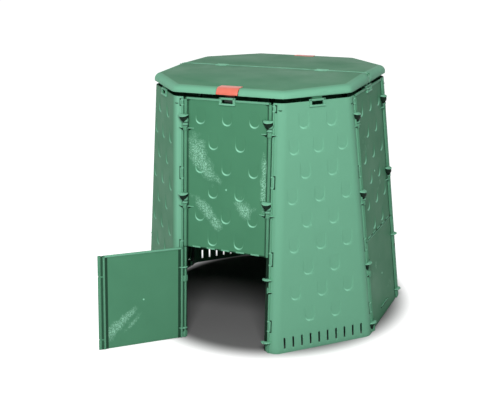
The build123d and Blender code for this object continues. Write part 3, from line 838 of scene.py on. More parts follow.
def recessed_sheet(sizes, points, spots, keep, lip_light, scuffs=(), face_sheen=0.0, **marks):
    """A panel's grid of points with a recess in the cells about each spot, pale patches and a painted sheen.
    """
    shape = Shape()
    rise = points[:, 0, 1]
    reach = sizes.tongue_width / 2 + 0.8 * TONGUE_MARGIN
    for spot in spots:
        low, high = (
            np.argmin(np.abs(rise - spot[1] + TONGUE_MARGIN - up_by))
            for up_by in (0, sizes.tongue_length + 2 * TONGUE_MARGIN)
        )
        across = points[(low + high) // 2, :, 0]
        left, right = np.searchsorted(across, spot[0] - reach) - 1, np.searchsorted(across, spot[0] + reach)
        keep[low:high, left:right] = False
        edge = (
            points[low, left:right], points[low:high, right],
            points[high, left + 1:right + 1][::-1], points[low + 1:high + 1, left][::-1],
        )
        recess(shape, sizes, np.concatenate(edge), spot, scuffs, face_sheen, lip_light)
    shape.sheet(points, keep, bleach=face_sheen, **marks)
    return shape


def slot_levels(top):
    """The bottom and top of a keeper's slot, up a panel that ends at top."""
    slot_high = top + KEEPER_ABOVE - KEEPER_BAR
    return slot_high - KEEPER_SLOT_HEIGHT, slot_high


def slot_cells(lines, rows, top):
    """Which cells of a panel's grid lie in its keeper's slot."""
    low, high = slot_levels(top)
    middles = (lines[:-1] + lines[1:]) / 2
    between = (rows[:-1] > low - TOLERANCE) & (rows[1:] < high + TOLERANCE)
    return np.ix_(between, np.abs(middles) < KEEPER_SLOT_HALF)


def keeper(top, rounding):
    """A slotted frame at a panel's top edge: a bar over the slot, a lip under it and two cheeks."""
    shape = Shape()
    high, low = top + KEEPER_ABOVE, top - KEEPER_BELOW
    slot_low, slot_high = slot_levels(top)
    depth = (-WALL, KEEPER_PROUD)
    proud = (-WALL, KEEPER_PROUD + 2 * rounding)
    # The bar, lip and cheeks are painted paler as highlights.
    shape.solid(block((-KEEPER_HALF, KEEPER_HALF), (slot_high, high), depth, 2 * rounding), bleach=0.35)
    shape.solid(block((-KEEPER_HALF, KEEPER_HALF), (low, slot_low), proud, 2 * rounding), bleach=0.5)
    for side in (-1, 1):
        cheek = sorted((side * KEEPER_SLOT_HALF, side * (KEEPER_HALF - rounding)))
        shape.solid(block(cheek, (low + rounding, high - rounding), depth, rounding), bleach=0.4)
    return shape


def corbel(top, shift, dark_side):
    """Under a clip's shelf: half a cup that narrows to a collar round the rod, hollow on one side and painted
    dark there as shade.

    Each ring is half a circle about a middle that moves from the shelf's to the rod's. Its radius follows the
    section, and is drawn in over the hollow, which reaches further down on the dark side and is painted
    dark as shade. Its top falls outwards with the shelf. The creases at both ends of the half circle and the
    lines at the necks are painted dark as shade, and the rest a little paler as a highlight.
    """
    drop = np.unique(np.concatenate([np.linspace(0, CORBEL_DROPS[-1], 40), CORBEL_DROPS]))[:, None]
    turn = np.linspace(0, 180, 49)[None]
    share = np.clip(((turn if dark_side < 0 else 180 - turn) - HOLLOW_START) / HOLLOW_TURN, 0, 1)
    edge = HOLLOW_DROPS[0] + (HOLLOW_DROPS[1] - HOLLOW_DROPS[0]) * share
    hollow = np.clip((edge - drop) / HOLLOW_EDGE, 0, 1)
    radius = np.interp(drop, CORBEL_DROPS, CORBEL_RADII) * (1 - HOLLOW_DEPTH * hollow)
    above_neck = np.clip(1 - drop / CORBEL_NECKS[0], 0, 1)
    x = shift * above_neck + radius * np.cos(np.radians(turn))
    z = radius * np.sin(np.radians(turn))
    back = np.full((len(drop), 1), -ROOT)
    x, z = np.hstack([x, x[:, -1:], x[:, :1]]), np.hstack([z, back, back])
    line = np.sum([np.exp(-(((drop - neck) / NECK_LINE) ** 2)) for neck in CORBEL_NECKS], 0)
    crease = np.exp(-((np.minimum(turn, 180 - turn) / CREASE) ** 2))
    soil = np.maximum(hollow, 0.9 * crease)
    soil = np.maximum(np.hstack([soil, soil[:, -1:], soil[:, :1]]), 0.95 * line)
    fall = SHELF_FALL * z / CORBEL_RADII[0] * above_neck
    rise = up(top) - SHELF_THICKNESS + SHELF_ROOT - drop - fall
    shape = Shape()
    shape.solid(np.stack([x, rise, z], -1), soil=soil, bleach=0.45)
    return shape


def half_cup(sizes, top, shift):
    """Under a shelf that a door swings past: the part of a cup on the flange's side of the open door, painted
    dark as shade.

    In plan it is a slice of the shelf, cut off along the open door. It shrinks downwards towards the
    shelf's middle along a quarter of a cosine wave.
    """
    door = radians(180 - DOOR_SWING)
    reach = shift * cos(door) + sqrt(sizes.shelf_radius ** 2 - (shift * sin(door)) ** 2)
    tip = degrees(atan2(reach * sin(door), reach * cos(door) - shift))
    slice_round = arc((0, 0), sizes.shelf_radius - CUP_INSET, 0, tip - CUP_DOOR_ROOM, 8)
    back = [[0, shift * tan(door) - CUP_INSET], [0, -ROOT], [slice_round[0, 0], -ROOT]]
    outline = np.concatenate([slice_round, back])
    tall = min(CUP_HEIGHT, up(top) - SHELF_THICKNESS - up(GROUND_GAP))
    share = np.linspace(0, 1, 9)
    width = CUP_FOOT + (1 - CUP_FOOT) * np.cos(share * pi / 2)
    level = up(top) - SHELF_THICKNESS + SHELF_ROOT - tall * share
    rings = at_heights([outline * size + (shift, 0) for size in width], level)
    shape = Shape()
    shape.solid(upright(rings), soil=np.repeat(np.clip(1.6 - share, 0, 1), len(outline)), bleach=0.3)
    return shape


def pocket(start, end, top, tall, proud):
    """The pocket under a ledge or shelf, painted dark as its shadow: a triangle with its long side up,
    carried outwards.
    """
    outline = np.array(((start, top), (start, top - tall), (end, top)))
    if end < start:
        outline = outline[::-1]
    return stacked(outline, -ROOT, proud, POCKET_ROUND)


def ledge(start, end, top, reach, pocket_proud):
    """A thin shelf that tapers away from the rod along a parabola, painted paler as a highlight, over a
    pocket painted dark as its shadow.

    Its outline in plan is carried upwards.
    """
    along = np.linspace(0, 1, 9)
    front = np.stack([start + (end - start) * along, reach * (1 - along ** 2)], -1)
    outline = np.concatenate([front[::-1], [[start, -ROOT], [end, -ROOT]]])
    if end < start:
        outline = outline[::-1]
    shape = Shape()
    shape.solid(upright(stacked(outline, top - LEDGE_THICKNESS, top, LEDGE_ROUND)), bleach=0.5)
    pocket_end = start + 0.8 * (end - start)
    pocket_top = top - LEDGE_THICKNESS + POCKET_ROOT
    shape.solid(pocket(start, pocket_end, pocket_top, LEDGE_POCKET_HEIGHT, pocket_proud), soil=0.95)
    return shape


def clip(sizes, top, shift, dark_side, wrap):
    """A corner panel's clip about a rod at x = 0, with the flange towards +x.

    It has a shelf, a hook that wraps the rod from one angle to another, and a ledge where there is room.
    Under the shelf a fixed panel's clip has a corbel. A door's has half a cup on its hinge edge and a pocket
    on its free edge, both painted dark as shade. The shelf and hook are painted paler as highlights.
    """
    shape = Shape()
    shelf = up(top)
    fixed = top > DOOR_TOP
    rounding = sizes.edge_round
    moon = half_moon(sizes.shelf_radius) + (shift, 0)
    tray = upright(stacked(moon, shelf - SHELF_THICKNESS, shelf, rounding))
    if fixed:
        tray[..., 1] -= SHELF_FALL * tray[..., 2] / CORBEL_RADII[0]
    shape.solid(tray, bleach=0.55)
    low, high = hook_span(top)
    ring = np.concatenate([arc((0, 0), HOOK_OUTER, *wrap, 18), arc((0, 0), HOOK_INNER, *wrap[::-1], 18)])
    shape.solid(upright(stacked(ring, low, high, rounding)), bleach=0.2)
    shape.solid(upright(block(NECK_SPAN, (-WALL, 0), (low, high), NECK_ROUND)))
    ledge_top = shelf - LEDGE_DROP
    if ledge_top > up(GROUND_GAP) + SHELF_THICKNESS:
        reach = LEDGE_PROUD if fixed else LOW_LEDGE_PROUD
        shape.join(ledge(*LEDGE_SPAN, ledge_top, reach, POCKET_PROUD))
    if fixed:
        shape.join(corbel(top, shift, dark_side))
    elif dark_side > 0:
        shape.join(half_cup(sizes, top, shift))
    else:
        shape.solid(pocket(*POCKET_SPAN, shelf - SHELF_THICKNESS, POCKET_HEIGHT, POCKET_PROUD), soil=0.95)
    return shape


def collars(sizes, low, high):
    """Two collars on a flange's bead, about a rod at x = 0, painted paler as highlights: a tab joins them,
    and a surround painted dark as shade lies round it.
    """
    shape = Shape()
    bead = BEAD_X - ROD_X
    radius = sizes.bead_radius + COLLAR_PROUD
    for level in (up(low), up(high) - COLLAR_HEIGHT):
        shape.solid(bar((bead, 0), radius, level, level + COLLAR_HEIGHT, sizes.edge_round), bleach=0.55)
    span = (up(low) - SURROUND_MARGIN, up(high) + SURROUND_MARGIN)
    surround = block((bead - ROOT, bead + SURROUND_WIDTH), (-WALL, SURROUND_PROUD), span, RIB_ROUND)
    shape.solid(upright(surround), soil=0.9)
    span = (up(low) + TAB_INSET, up(high) - TAB_INSET)
    tab = block((bead - ROOT, bead + TAB_WIDTH), (-WALL, TAB_PROUD), span, sizes.edge_round)
    shape.solid(upright(tab), bleach=0.38)
    return shape


def flange_detail(sizes, hinge):
    """The clips, bead, dark strip, collars and bend mark of a flange, which lies towards +x of a rod at x =
    0.

    On a hinge edge every hook holds its rod. On a door's free edge the lower ones are open.
    """
    shape = Shape()
    for top in CLIP_TOPS:
        if hinge:
            shape.join(clip(sizes, top, HINGE_SHELF_SHIFT, 1, HOOK_WRAP))
        elif top > DOOR_TOP:
            shape.join(clip(sizes, top, FREE_SHELF_SHIFT, -1, HOOK_WRAP))
        else:
            shape.join(clip(sizes, top, DOOR_SHELF_SHIFT, -1, OPEN_HOOK_WRAP))
    foot, head = up(GROUND_GAP), up(WALL_HEIGHT) - GROUND_GAP
    # The bead is painted paler as a highlight, and the strip behind it dark as the shade in the gap.
    shape.solid(bar((BEAD_X - ROD_X, 0), sizes.bead_radius, foot, head, sizes.edge_round), bleach=0.28)
    shape.solid(upright(block(SHADE_STRIP_ACROSS, SHADE_STRIP_DEPTH, (foot, head), RIB_ROUND)), soil=0.95)
    for low, high in COLLAR_SPANS:
        shape.join(collars(sizes, low, high))
    # The half-moon mark on the bend is painted dark as shade.
    mark = half_moon(BEND_MARK_RADIUS) * (1, -0.5) + (BEND_MARK_X, up(BEND_MARK_Z))
    shape.solid(stacked(mark[::-1], *BEND_MARK_DEPTH, MARK_ROUND), soil=0.8)
    return shape


def rods(sizes, low, high):
    """A side panel's rod about x = 0, broken where the clips' shelves pass through."""
    shape = Shape()
    for start, end in between_shelves(low, high):
        # The rod is painted a little paler as a highlight.
        shape.solid(bar((0, 0), sizes.rod_radius, start, end, sizes.edge_round), bleach=0.15)
    return shape


def gate(height):
    """The round mark left where a panel was filled in its mould."""
    return stacked(circle((0, up(height)), GATE_RADIUS, 14), -WALL / 2, GATE_PROUD, GATE_ROUND)


# Moulded plastics and steel


def add_node(tree, kind, inputs=(), **settings):
    """One node with its settings and inputs: a value for a socket, or a link from another node's output."""
    node = tree.nodes.new(kind)
    for name, value in settings.items():
        setattr(node, name, value)
    for socket, value in dict(inputs).items():
        if isinstance(value, bpy.types.NodeSocket):
            tree.links.new(value, node.inputs[socket])
        else:
            node.inputs[socket].default_value = value
    return node


def material_from(maker, context):
    """A material that its maker fills with nodes. It is named for its maker, made once and then reused."""
    found = bpy.data.materials.get(maker.__name__)
    if found:
        return found
    made = bpy.data.materials.new(maker.__name__)
    made.use_nodes = True
    made.node_tree.nodes.clear()
    maker(made.node_tree, context.scene.bin_colours)
    return made


def per_metre(millimetres):
    """A texture scale that gives features of about this size."""
    return 1 / (millimetres * MM)


def clouded(tree, place, size, tint, other):
    """A colour that drifts to another in clouds of a size in millimetres, and the cloud itself."""
    cloud = add_node(tree, "ShaderNodeTexNoise", {"Vector": place, "Scale": per_metre(size), "Detail": 3.0})
    share = cloud.outputs["Fac"]
    mixed = add_node(tree, "ShaderNodeMix", {"Factor": share, 6: tint, 7: other}, data_type="RGBA")
    return mixed.outputs[2], share


def polypropylene_skin(tree, place, size, depth, strength, finish):
    """Polypropylene's surface with a finish, under a moulded grain of a size and depth in millimetres."""
    grain = add_node(tree, "ShaderNodeTexNoise", {"Vector": place, "Scale": per_metre(size), "Detail": 2.0})
    relief = {"Height": grain.outputs["Fac"], "Strength": strength, "Distance": depth * MM}
    bump = add_node(tree, "ShaderNodeBump", relief)
    skin = {"IOR": 1.49, "Normal": bump.outputs["Normal"], **finish}
    shader = add_node(tree, "ShaderNodeBsdfPrincipled", skin)
    add_node(tree, "ShaderNodeOutputMaterial", {"Surface": shader.outputs[0]})


def moulded_green_polypropylene(tree, colours):
    """Injection-moulded polypropylene: a satin skin with a faint cloud from the colour batch.

    It is painted paler as highlights and sheen, hazes to a pale speckle from rubbing and, on the front
    door, as a painted sheen, and is painted dark as shade in its recesses. The moulded grain is drawn at 3
    mm, coarser than life, so that it shows.
    """
    place = add_node(tree, "ShaderNodeTexCoord").outputs["Object"]
    tint, cloud = clouded(tree, place, 140, colours.green, colours.green_deep)
    bleach, scuff, soil = (
        add_node(tree, "ShaderNodeAttribute", attribute_name=mark).outputs["Fac"] for mark in Shape.MARKS
    )
    grit = add_node(tree, "ShaderNodeTexNoise", {"Vector": place, "Scale": per_metre(4), "Detail": 2.0})
    grit_edge = add_node(
        tree, "ShaderNodeMapRange",
        {"Value": grit.outputs["Fac"], "From Min": 0.46, "From Max": 0.6, "To Min": 0.14, "To Max": 0.92},
    )
    ragged = add_node(tree, "ShaderNodeTexNoise", {"Vector": place, "Scale": per_metre(32), "Detail": 4.0})
    patch = add_node(
        tree, "ShaderNodeMath", {0: ragged.outputs["Fac"], 1: 1.2, 2: scuff}, operation="MULTIPLY_ADD"
    )
    patch_edge = add_node(
        tree, "ShaderNodeMapRange", {"Value": patch.outputs[0], "From Min": 0.92, "From Max": 1.45}
    )
    haze = add_node(
        tree, "ShaderNodeMath",
        {0: grit_edge.outputs["Result"], 1: patch_edge.outputs["Result"]}, operation="MULTIPLY",
    )
    # Painted highlight, then pale haze, then painted shade, over the clouded green.
    layers = ((bleach, colours.green_highlight), (haze.outputs[0], colours.scuff), (soil, colours.soil))
    for share, over in layers:
        mixed = add_node(tree, "ShaderNodeMix", {"Factor": share, 6: tint, 7: over}, data_type="RGBA")
        tint = mixed.outputs[2]
    gloss = add_node(
        tree, "ShaderNodeMapRange",
        {"Value": cloud, "From Min": 0.3, "From Max": 0.7, "To Min": 0.42, "To Max": 0.54},
    )
    finish = {"Base Color": tint, "Roughness": gloss.outputs["Result"], "Specular IOR Level": 0.06}
    polypropylene_skin(tree, place, 3, 0.5, 0.06, finish)


def moulded_red_polypropylene(tree, colours):
    """Injection-moulded polypropylene, glossier than the panels because thumbs polish it.

    Below the lid's rim, where the bolt runs in its keeper, it is painted dark as the shade of the keeper's
    slot. The moulded grain is drawn at 2 mm, coarser than life, so that it shows.
    """
    place = add_node(tree, "ShaderNodeTexCoord").outputs["Object"]
    tint, _ = clouded(tree, place, 25, colours.red, colours.red_deep)
    height = add_node(tree, "ShaderNodeSeparateXYZ", {0: place}).outputs["Z"]
    below_rim = add_node(
        tree, "ShaderNodeMapRange",
        {"Value": height, "From Min": LID_LOW - 6 * MM, "From Max": LID_LOW - 12 * MM},
    )
    # Below the rim the red is painted dark as shade.
    soiled = add_node(
        tree, "ShaderNodeMix",
        {"Factor": below_rim.outputs["Result"], 6: tint, 7: colours.soil}, data_type="RGBA",
    )
    polypropylene_skin(tree, place, 2, 0.3, 0.05, {"Base Color": soiled.outputs[2], "Roughness": 0.32})


def sun_bleached_polypropylene(tree, colours):
    """The moulded green painted paler as the highlight along the lid's seam, and chalky, with a faint cloud
    and the same grain.
    """
    place = add_node(tree, "ShaderNodeTexCoord").outputs["Object"]
    tint, _ = clouded(tree, place, 40, colours.green_highlight, colours.green)
    polypropylene_skin(tree, place, 3, 0.5, 0.06, {"Base Color": tint, "Roughness": 0.6})


def drawn_steel(tree, colours):
    """Zinc-plated steel wire: fine drawing lines along the pin."""
    place = add_node(tree, "ShaderNodeTexCoord").outputs["Object"]
    along = add_node(tree, "ShaderNodeMapping", {"Vector": place, "Scale": (0.05, 1, 1)}).outputs[0]
    lines = add_node(tree, "ShaderNodeTexNoise", {"Vector": along, "Scale": per_metre(1), "Detail": 2.0})
    rough = add_node(
        tree, "ShaderNodeMapRange", {"Value": lines.outputs["Fac"], "To Min": 0.25, "To Max": 0.5}
    )
    shader = add_node(
        tree, "ShaderNodeBsdfPrincipled",
        {"Base Color": colours.steel, "Metallic": 1.0, "Roughness": rough.outputs["Result"]},
    )
    add_node(tree, "ShaderNodeOutputMaterial", {"Surface": shader.outputs[0]})


# Pieces


def round_edges(made, rounding, angle):
    """Rounds a piece's edges that are sharper than an angle in degrees."""
    edges = made.modifiers.new("edges", "BEVEL")
    edges.width = rounding
    edges.segments = 2
    edges.limit_method = "ANGLE"
    edges.angle_limit = radians(angle)
    return edges


def add_pieces(context, node, body, skin, moulding, rounding, names=("sheet", "moulding")):
    """Two new pieces that ride on a body and stand for a CAD node.

    The skin gets its wall inwards and rounded cut edges, and the moulding on it is solid.
    """
    green = material_from(moulded_green_polypropylene, context)
    shell = skin.build(f"{node}_{names[0]}", green, False)
    wall = shell.modifiers.new("wall", "SOLIDIFY")
    wall.thickness = WALL
    wall.offset = -1
    round_edges(shell, rounding, SHEET_EDGE_ANGLE)
    made = moulding.build(f"{node}_{names[1]}", green, True)
    for piece in (shell, made):
        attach(piece, body)
        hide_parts(node)


def dress(node, material, rounding):
    """Gives a CAD node that is shown as it is a material and rounded edges, without touching its mesh.

    Its loose triangles are welded first.
    """
    made = frame["nodes"][node]
    made.data.materials.clear()
    made.data.materials.append(material)
    weld = made.modifiers.new("weld", "WELD")
    weld.merge_threshold = CAD_WELD
    round_edges(made, rounding, CAD_EDGE_ANGLE).harden_normals = True


def corner_bend(heights, face_sheen, bend_highlight):
    """A corner panel's flange and bend at each height, from the flange's tip to where its face starts.

    In plan it is a straight run along the side and an eighth of a circle, carried up the leaning wall.
    """
    turn = np.radians(np.linspace(-90, -45, 10))
    flange = np.linspace(FLANGE_TIP + WALL / 2, HALF_SIDE - BEND_TRIM, 5)[:-1]
    x = np.concatenate([flange, HALF_SIDE - BEND_TRIM + CORNER_RADIUS * np.cos(turn)])
    back = np.concatenate([np.zeros(len(flange)), CORNER_RADIUS * (1 + np.sin(turn))])
    y = back - half_across(heights)[:, None]
    x, z = (np.broadcast_to(line, y.shape) for line in (x, heights[:, None]))
    # The flange and bend are painted paler as highlights, fading into the face's sheen.
    fading = face_sheen + (bend_highlight - face_sheen) * np.linspace(1, 0, len(turn)) ** 0.8
    highlit = np.concatenate([np.full(len(flange), 0.85 * bend_highlight), fading])
    return np.stack([x, y, z], -1), np.broadcast_to(highlit, y.shape)


def face_half(height):
    """Half the width of a corner panel's flat face at a height."""
    return (half_across(height) - HALF_SIDE) / sqrt(2) - BEND_TRIM


def corner_spots():
    """A corner panel's tongues. Near the top the outer ones move in to stay clear of the bends."""
    spots = tongue_spots(CORNER_ROWS, CORNER_LEAN, (-0.5, 0.5), (-1, 0, 1))
    shifted = []
    for x, y in spots:
        room = face_half((y + TONGUE_ROOM) * cos(CORNER_LEAN)) - TONGUE_FROM_BEND
        shifted.append((max(-room, min(room, x)), y))
    return shifted


def corner_sheet(sizes, face_sheen, bend_highlight, lip_light):
    """The front right corner panel's bent sheet: its section carried up the wall, with tongues and slots.

    The second and third arguments are how pale its face and its bends are painted, as a sheen and as
    highlights.
    """
    spots = corner_spots()
    levels = tongue_levels(sizes, spots) * cos(CORNER_LEAN)
    even = np.linspace(SLOT_HIGH, WALL_HEIGHT, FACE_ROWS)
    top = up(WALL_HEIGHT, CORNER_LEAN)
    slot = np.array(slot_levels(top)) * cos(CORNER_LEAN)
    heights = np.unique(np.concatenate([FOOT_ROWS, even, levels, slot]).round(6))
    middles = (np.arange(SLOT_COUNT) - (SLOT_COUNT - 1) / 2) * SLOT_PITCH
    lines = np.concatenate([middles - SLOT_WIDTH / 2, middles + SLOT_WIDTH / 2, FACE_LINES])
    lines = np.unique(lines.round(5))
    half = face_half(heights)[:, None]
    across = np.clip(lines, -half, half)
    across[:, 0], across[:, -1] = -half[:, 0], half[:, 0]
    rise = np.broadcast_to(up(heights, CORNER_LEAN)[:, None], across.shape)
    points = np.stack([across, rise, np.zeros(across.shape)], -1)
    keep = np.ones((len(heights) - 1, len(lines) - 1), bool)
    in_slot = np.abs((lines[:-1] + lines[1:]) / 2 - middles[:, None]).min(0) < SLOT_WIDTH / 2
    at_foot = (heights[:-1] >= SLOT_LOW - TOLERANCE) & (heights[1:] <= SLOT_HIGH + TOLERANCE)
    keep[np.ix_(at_foot, in_slot)] = False
    keep[slot_cells(lines, rise[:, 0], top)] = False
    shape = recessed_sheet(sizes, points, spots, keep, lip_light, face_sheen=face_sheen).placed(corner_place(0))
    bend, highlit = corner_bend(heights, face_sheen, bend_highlight)
    shape.sheet(bend, bleach=highlit)
    other = -bend[:, ::-1, [1, 0, 2]] * (1, 1, -1)
    shape.sheet(other, bleach=highlit[:, ::-1])
    return shape


def air_ribs():
    """Staggered roof-shaped ribs on the inside of a corner panel: an outline carried inwards."""
    slant = radians(RIB_HALF_ANGLE)
    reach, fall = RIB_LEG * sin(slant), RIB_LEG * cos(slant)
    wide, deep = RIB_THICKNESS / cos(slant), RIB_THICKNESS / sin(slant)
    outline = np.array(
        ((0, 0), (-reach, -fall), (wide - reach, -fall), (0, -deep), (reach - wide, -fall), (reach, -fall))
    )
    rib = Shape()
    rib.solid(stacked(outline, -WALL - RIB_DEPTH, RIB_ROOT - WALL, RIB_ROUND))
    spots = [
        (column, up(RIB_TOP_ROW - row * TONGUE_ROW_PITCH, CORNER_LEAN))
        for row in range(CORNER_ROWS)
        for column in ((0,) if row % 2 else (-RIB_COLUMN, RIB_COLUMN))
    ]
    return rib.placed(*[lambda points, spot=spot: points + (*spot, 0) for spot in spots])


class BIN_OT_corner_panels(bpy.types.Operator):
    """Four bent corner panels with their clips, beads, tongues, keepers, air ribs and slots"""

    bl_idname = "bin.corner_panels"
    bl_label = "Corner Panels"

    def execute(self, context):
        sizes = context.scene.bin_sizes
        on_face = keeper(up(WALL_HEIGHT, CORNER_LEAN), sizes.edge_round)
        on_face.join(air_ribs())
        free_edge = flange_detail(sizes, False).placed(at_rod)
        hinge_edge = flange_detail(sizes, True).placed(at_rod).placed(mirrored)
        for number, name in enumerate(CORNERS):
            turn = QUARTER * number
            lip_light = FRONT_LEFT_LIP_HIGHLIGHT if name == "front_left" else LIP_HIGHLIGHT
            sheet = corner_sheet(sizes, *CORNER_HIGHLIGHT[name], lip_light).placed(turned(turn))
            trim = on_face.placed(corner_place(turn))
            trim.join(free_edge.placed(side_place(turn)))
            trim.join(hinge_edge.placed(side_place(turn + QUARTER)))
            add_pieces(context, f"corner_panel_{name}", "walls", sheet, trim, sizes.edge_round)
        return {"FINISHED"}


def upper_reaches(rows, top):
    """How far an upper panel's left and right edges are cut back at each row.

    Each has its clips' scoops, and a notch under the rim that widens evenly upwards.
    """
    rim_low = top - RIM_HEIGHT
    under_rim = (rows >= rim_low - NOTCH_HEIGHT) & (rows <= rim_low)
    notch = NOTCH_REACH * (rows - rim_low + NOTCH_HEIGHT) / NOTCH_HEIGHT
    scoops = [
        np.max([scoop_reach(rows, clip_top, deep) for clip_top in CLIP_TOPS], 0)
        for deep in (HOOK_ROOM, SCOOP_REACH)
    ]
    return [np.where(under_rim, notch, scoop) for scoop in scoops]


def upper_trim(sizes, low, top):
    """What stands on an upper panel's sheet: keeper, rods, gate mark, rim, dashes at its foot and ledges."""
    rounding = sizes.edge_round
    trim = keeper(top, rounding)
    trim.join(both_edges(rods(sizes, low, up(ROD_TOP))))
    trim.solid(gate(PANEL_GATE), bleach=0.8)
    # The rim and dashes are painted paler as highlights, and the gap beside each dash dark as shade.
    for side in (-1, 1):
        span = sorted((side * KEEPER_HALF, side * RIM_HALF))
        trim.solid(block(span, (top - RIM_HEIGHT, top), (-WALL / 2, RIM_PROUD), rounding), bleach=0.3)
    for column in range(DASH_COUNT):
        x = (column - (DASH_COUNT - 1) / 2) * DASH_PITCH
        dash = (x - DASH_HALF, x + DASH_HALF), (low, low + DASH_HEIGHT), (-WALL, DASH_PROUD)
        trim.solid(block(*dash, rounding), bleach=0.4)
        gap = (x + DASH_GAP[0], x + DASH_GAP[1]), (low, low + DASH_GAP_HEIGHT), (-WALL, DASH_GAP_PROUD)
        trim.solid(block(*gap, STRIP_ROUND), soil=0.85)
    ledges = Shape()
    for clip_top in CLIP_TOPS:
        ledge_top = up(clip_top) - LEDGE_DROP
        if ledge_top > low:
            ledges.join(ledge(*PANEL_LEDGE_SPAN, ledge_top, LEDGE_PROUD, PANEL_POCKET_PROUD))
    trim.join(both_edges(ledges))
    return trim


class BIN_OT_upper_panels(bpy.types.Operator):
    """Four upper side panels with their rods, tongues and keepers"""

    bl_idname = "bin.upper_panels"
    bl_label = "Upper Panels"

    def execute(self, context):
        sizes = context.scene.bin_sizes
        low, top = up(PANEL_LOW), up(WALL_HEIGHT)
        rim_low = top - RIM_HEIGHT
        spots = tongue_spots(SIDE_ROWS, LEAN, (-1, 0, 1), (-0.5, 0.5))
        rim = (rim_low - NOTCH_HEIGHT, rim_low, rim_low + CUT_STEP, *slot_levels(top))
        rows = edge_rows(low, top, np.concatenate([tongue_levels(sizes, spots), rim]))
        reaches = upper_reaches(rows, top)
        trim = upper_trim(sizes, low, top)
        for number, side in enumerate(SIDES):
            scuffs = FRONT_SCUFFS if side == "front" else OTHER_SCUFFS
            lip_light = RIGHT_LIP_HIGHLIGHT if side == "right" else LIP_HIGHLIGHT
            points, marks = side_grid(rows, *reaches, sizes.groove_depth, scuffs)
            keep = np.ones((points.shape[0] - 1, points.shape[1] - 1), bool)
            keep[slot_cells(points[0, :, 0], rows, top)] = False
            sheet = recessed_sheet(sizes, points, spots, keep, lip_light, scuffs, **marks)
            place = side_place(QUARTER * number)
            pieces = sheet.placed(place), trim.placed(place)
            add_pieces(context, f"upper_panel_{side}", "walls", *pieces, sizes.edge_round)
        return {"FINISHED"}


def inner_edge(sizes, spans):
    """Inside a door's right edge: a bar painted paler as a highlight beside a groove painted dark as shade,
    in spans up the door.
    """
    shape = Shape()
    groove_depth = (-WALL - EDGE_GROOVE_PROUD, -WALL / 2)
    for span in spans:
        shape.solid(block(EDGE_BAR, span, (INNER_BACK, -WALL / 2), sizes.edge_round), bleach=0.25)
        shape.solid(block(EDGE_GROOVE, span, groove_depth, MARK_ROUND), soil=0.8)
    return shape


def door_trim(sizes, low, top):
    """What stands on a door's sheet: rods, inner edges, bridges at its slits, lips, grip and gate marks."""
    rounding = sizes.edge_round
    trim = both_edges(rods(sizes, low, top))
    trim.join(inner_edge(sizes, [(low, top)]))
    trim.join(inner_edge(sizes, between_shelves(low, top)).placed(mirrored))
    # The bridges, lips and grip are painted paler as highlights.
    for clip_top in CLIP_TOPS:
        if up(clip_top) < top:
            bridge = block(BRIDGE_ACROSS, slit_span(clip_top), BRIDGE_DEPTH, STRIP_ROUND)
            trim.solid(bridge, bleach=0.15)
    lip_half = EDGE_BAR[1]
    grip_low, grip_high = (up(height) for height in GRIP_SPAN)
    # Each block: half its width, its spans up and out of the door, its rounding and its marks.
    blocks = (
        (lip_half, (top - INNER_LIP_HEIGHT, top), (INNER_BACK, -WALL / 2), rounding, {"bleach": 0.5}),
        (lip_half, (top - OUTER_LIP_HEIGHT, top), (-WALL / 2, OUTER_LIP_PROUD), rounding, {"bleach": 0.35}),
        (GRIP_HALF, (grip_low, grip_high), (-WALL / 2, GRIP_PROUD), rounding, {"bleach": 0.3}),
        # Under the grip, a line painted dark as its shadow.
        (GRIP_HALF, (up(GRIP_LINE_LOW), grip_low), (-WALL / 2, GRIP_LINE_PROUD), STRIP_ROUND, {"soil": 0.95}),
    )
    for half, rise, depth, edge, marks in blocks:
        trim.solid(block((-half, half), rise, depth, edge), **marks)
    mark = gate(DOOR_GATE)
    trim.solid(mark, bleach=0.8)
    trim.solid(mark * (1, 1, -1) - (0, 0, WALL), bleach=0.9)
    return trim


class BIN_OT_doors(bpy.types.Operator):
    """Four doors with their rods, inner edge bars, grooves painted dark as shade, top lips and finger grips
    """

    bl_idname = "bin.doors"
    bl_label = "Doors"

    def execute(self, context):
        sizes = context.scene.bin_sizes
        low, top = up(GROUND_GAP), up(DOOR_TOP)
        rows = door_rows(low, top)
        uncut = np.zeros(len(rows))
        trim = door_trim(sizes, low, top)
        hinges = [joint for joint in frame["joints"] if "range_deg" in joint]
        opening = {joint["child"]: -joint["range_deg"][0] for joint in hinges}
        for number, side in enumerate(SIDES):
            front = side == "front"
            scuffs = FRONT_DOOR_SHEEN_STREAKS if front else OTHER_DOOR_SCUFFS
            points, marks = side_grid(rows, uncut, uncut, sizes.groove_depth, scuffs)
            sheet = Shape()
            # The front door's sheet is painted a little paler, as a faint sheen.
            sheet.sheet(points, door_cells(rows, points[0, :, 0]), bleach=0.06 if front else 0.0, **marks)
            swung, place = swing(opening[f"{side}_door"]), side_place(QUARTER * number)
            pieces = (shape.placed(swung).placed(place) for shape in (sheet, trim))
            add_pieces(context, f"door_{side}", f"{side}_door", *pieces, sizes.edge_round)
        return {"FINISHED"}


def lid_path(inset):
    """The front leaf's edge in plan, drawn in by inset, from its left end at the seam to its right end.

    Straight runs along half of an eight-sided plate, with an eighth of a circle at each corner.
    """
    half = LID_HALF - inset
    side = (LID_DIAGONAL - inset) * sqrt(2) - half
    radius = LID_PLAN_ROUND - inset
    trim = radius * (sqrt(2) - 1)
    run = np.linspace(SEAM_EDGE, side - trim, 6)[:-1]
    left = np.column_stack([np.full(len(run), -half), -run])
    corners = (
        arc((radius - half, trim - side), radius, 180, 225, 6),
        arc((trim - side, radius - half), radius, 225, 270, 6),
    )
    quarter = np.concatenate([left, *corners, [[-BAY_HALF, -half]]])
    return np.concatenate([quarter, quarter[::-1] * (-1, 1)])


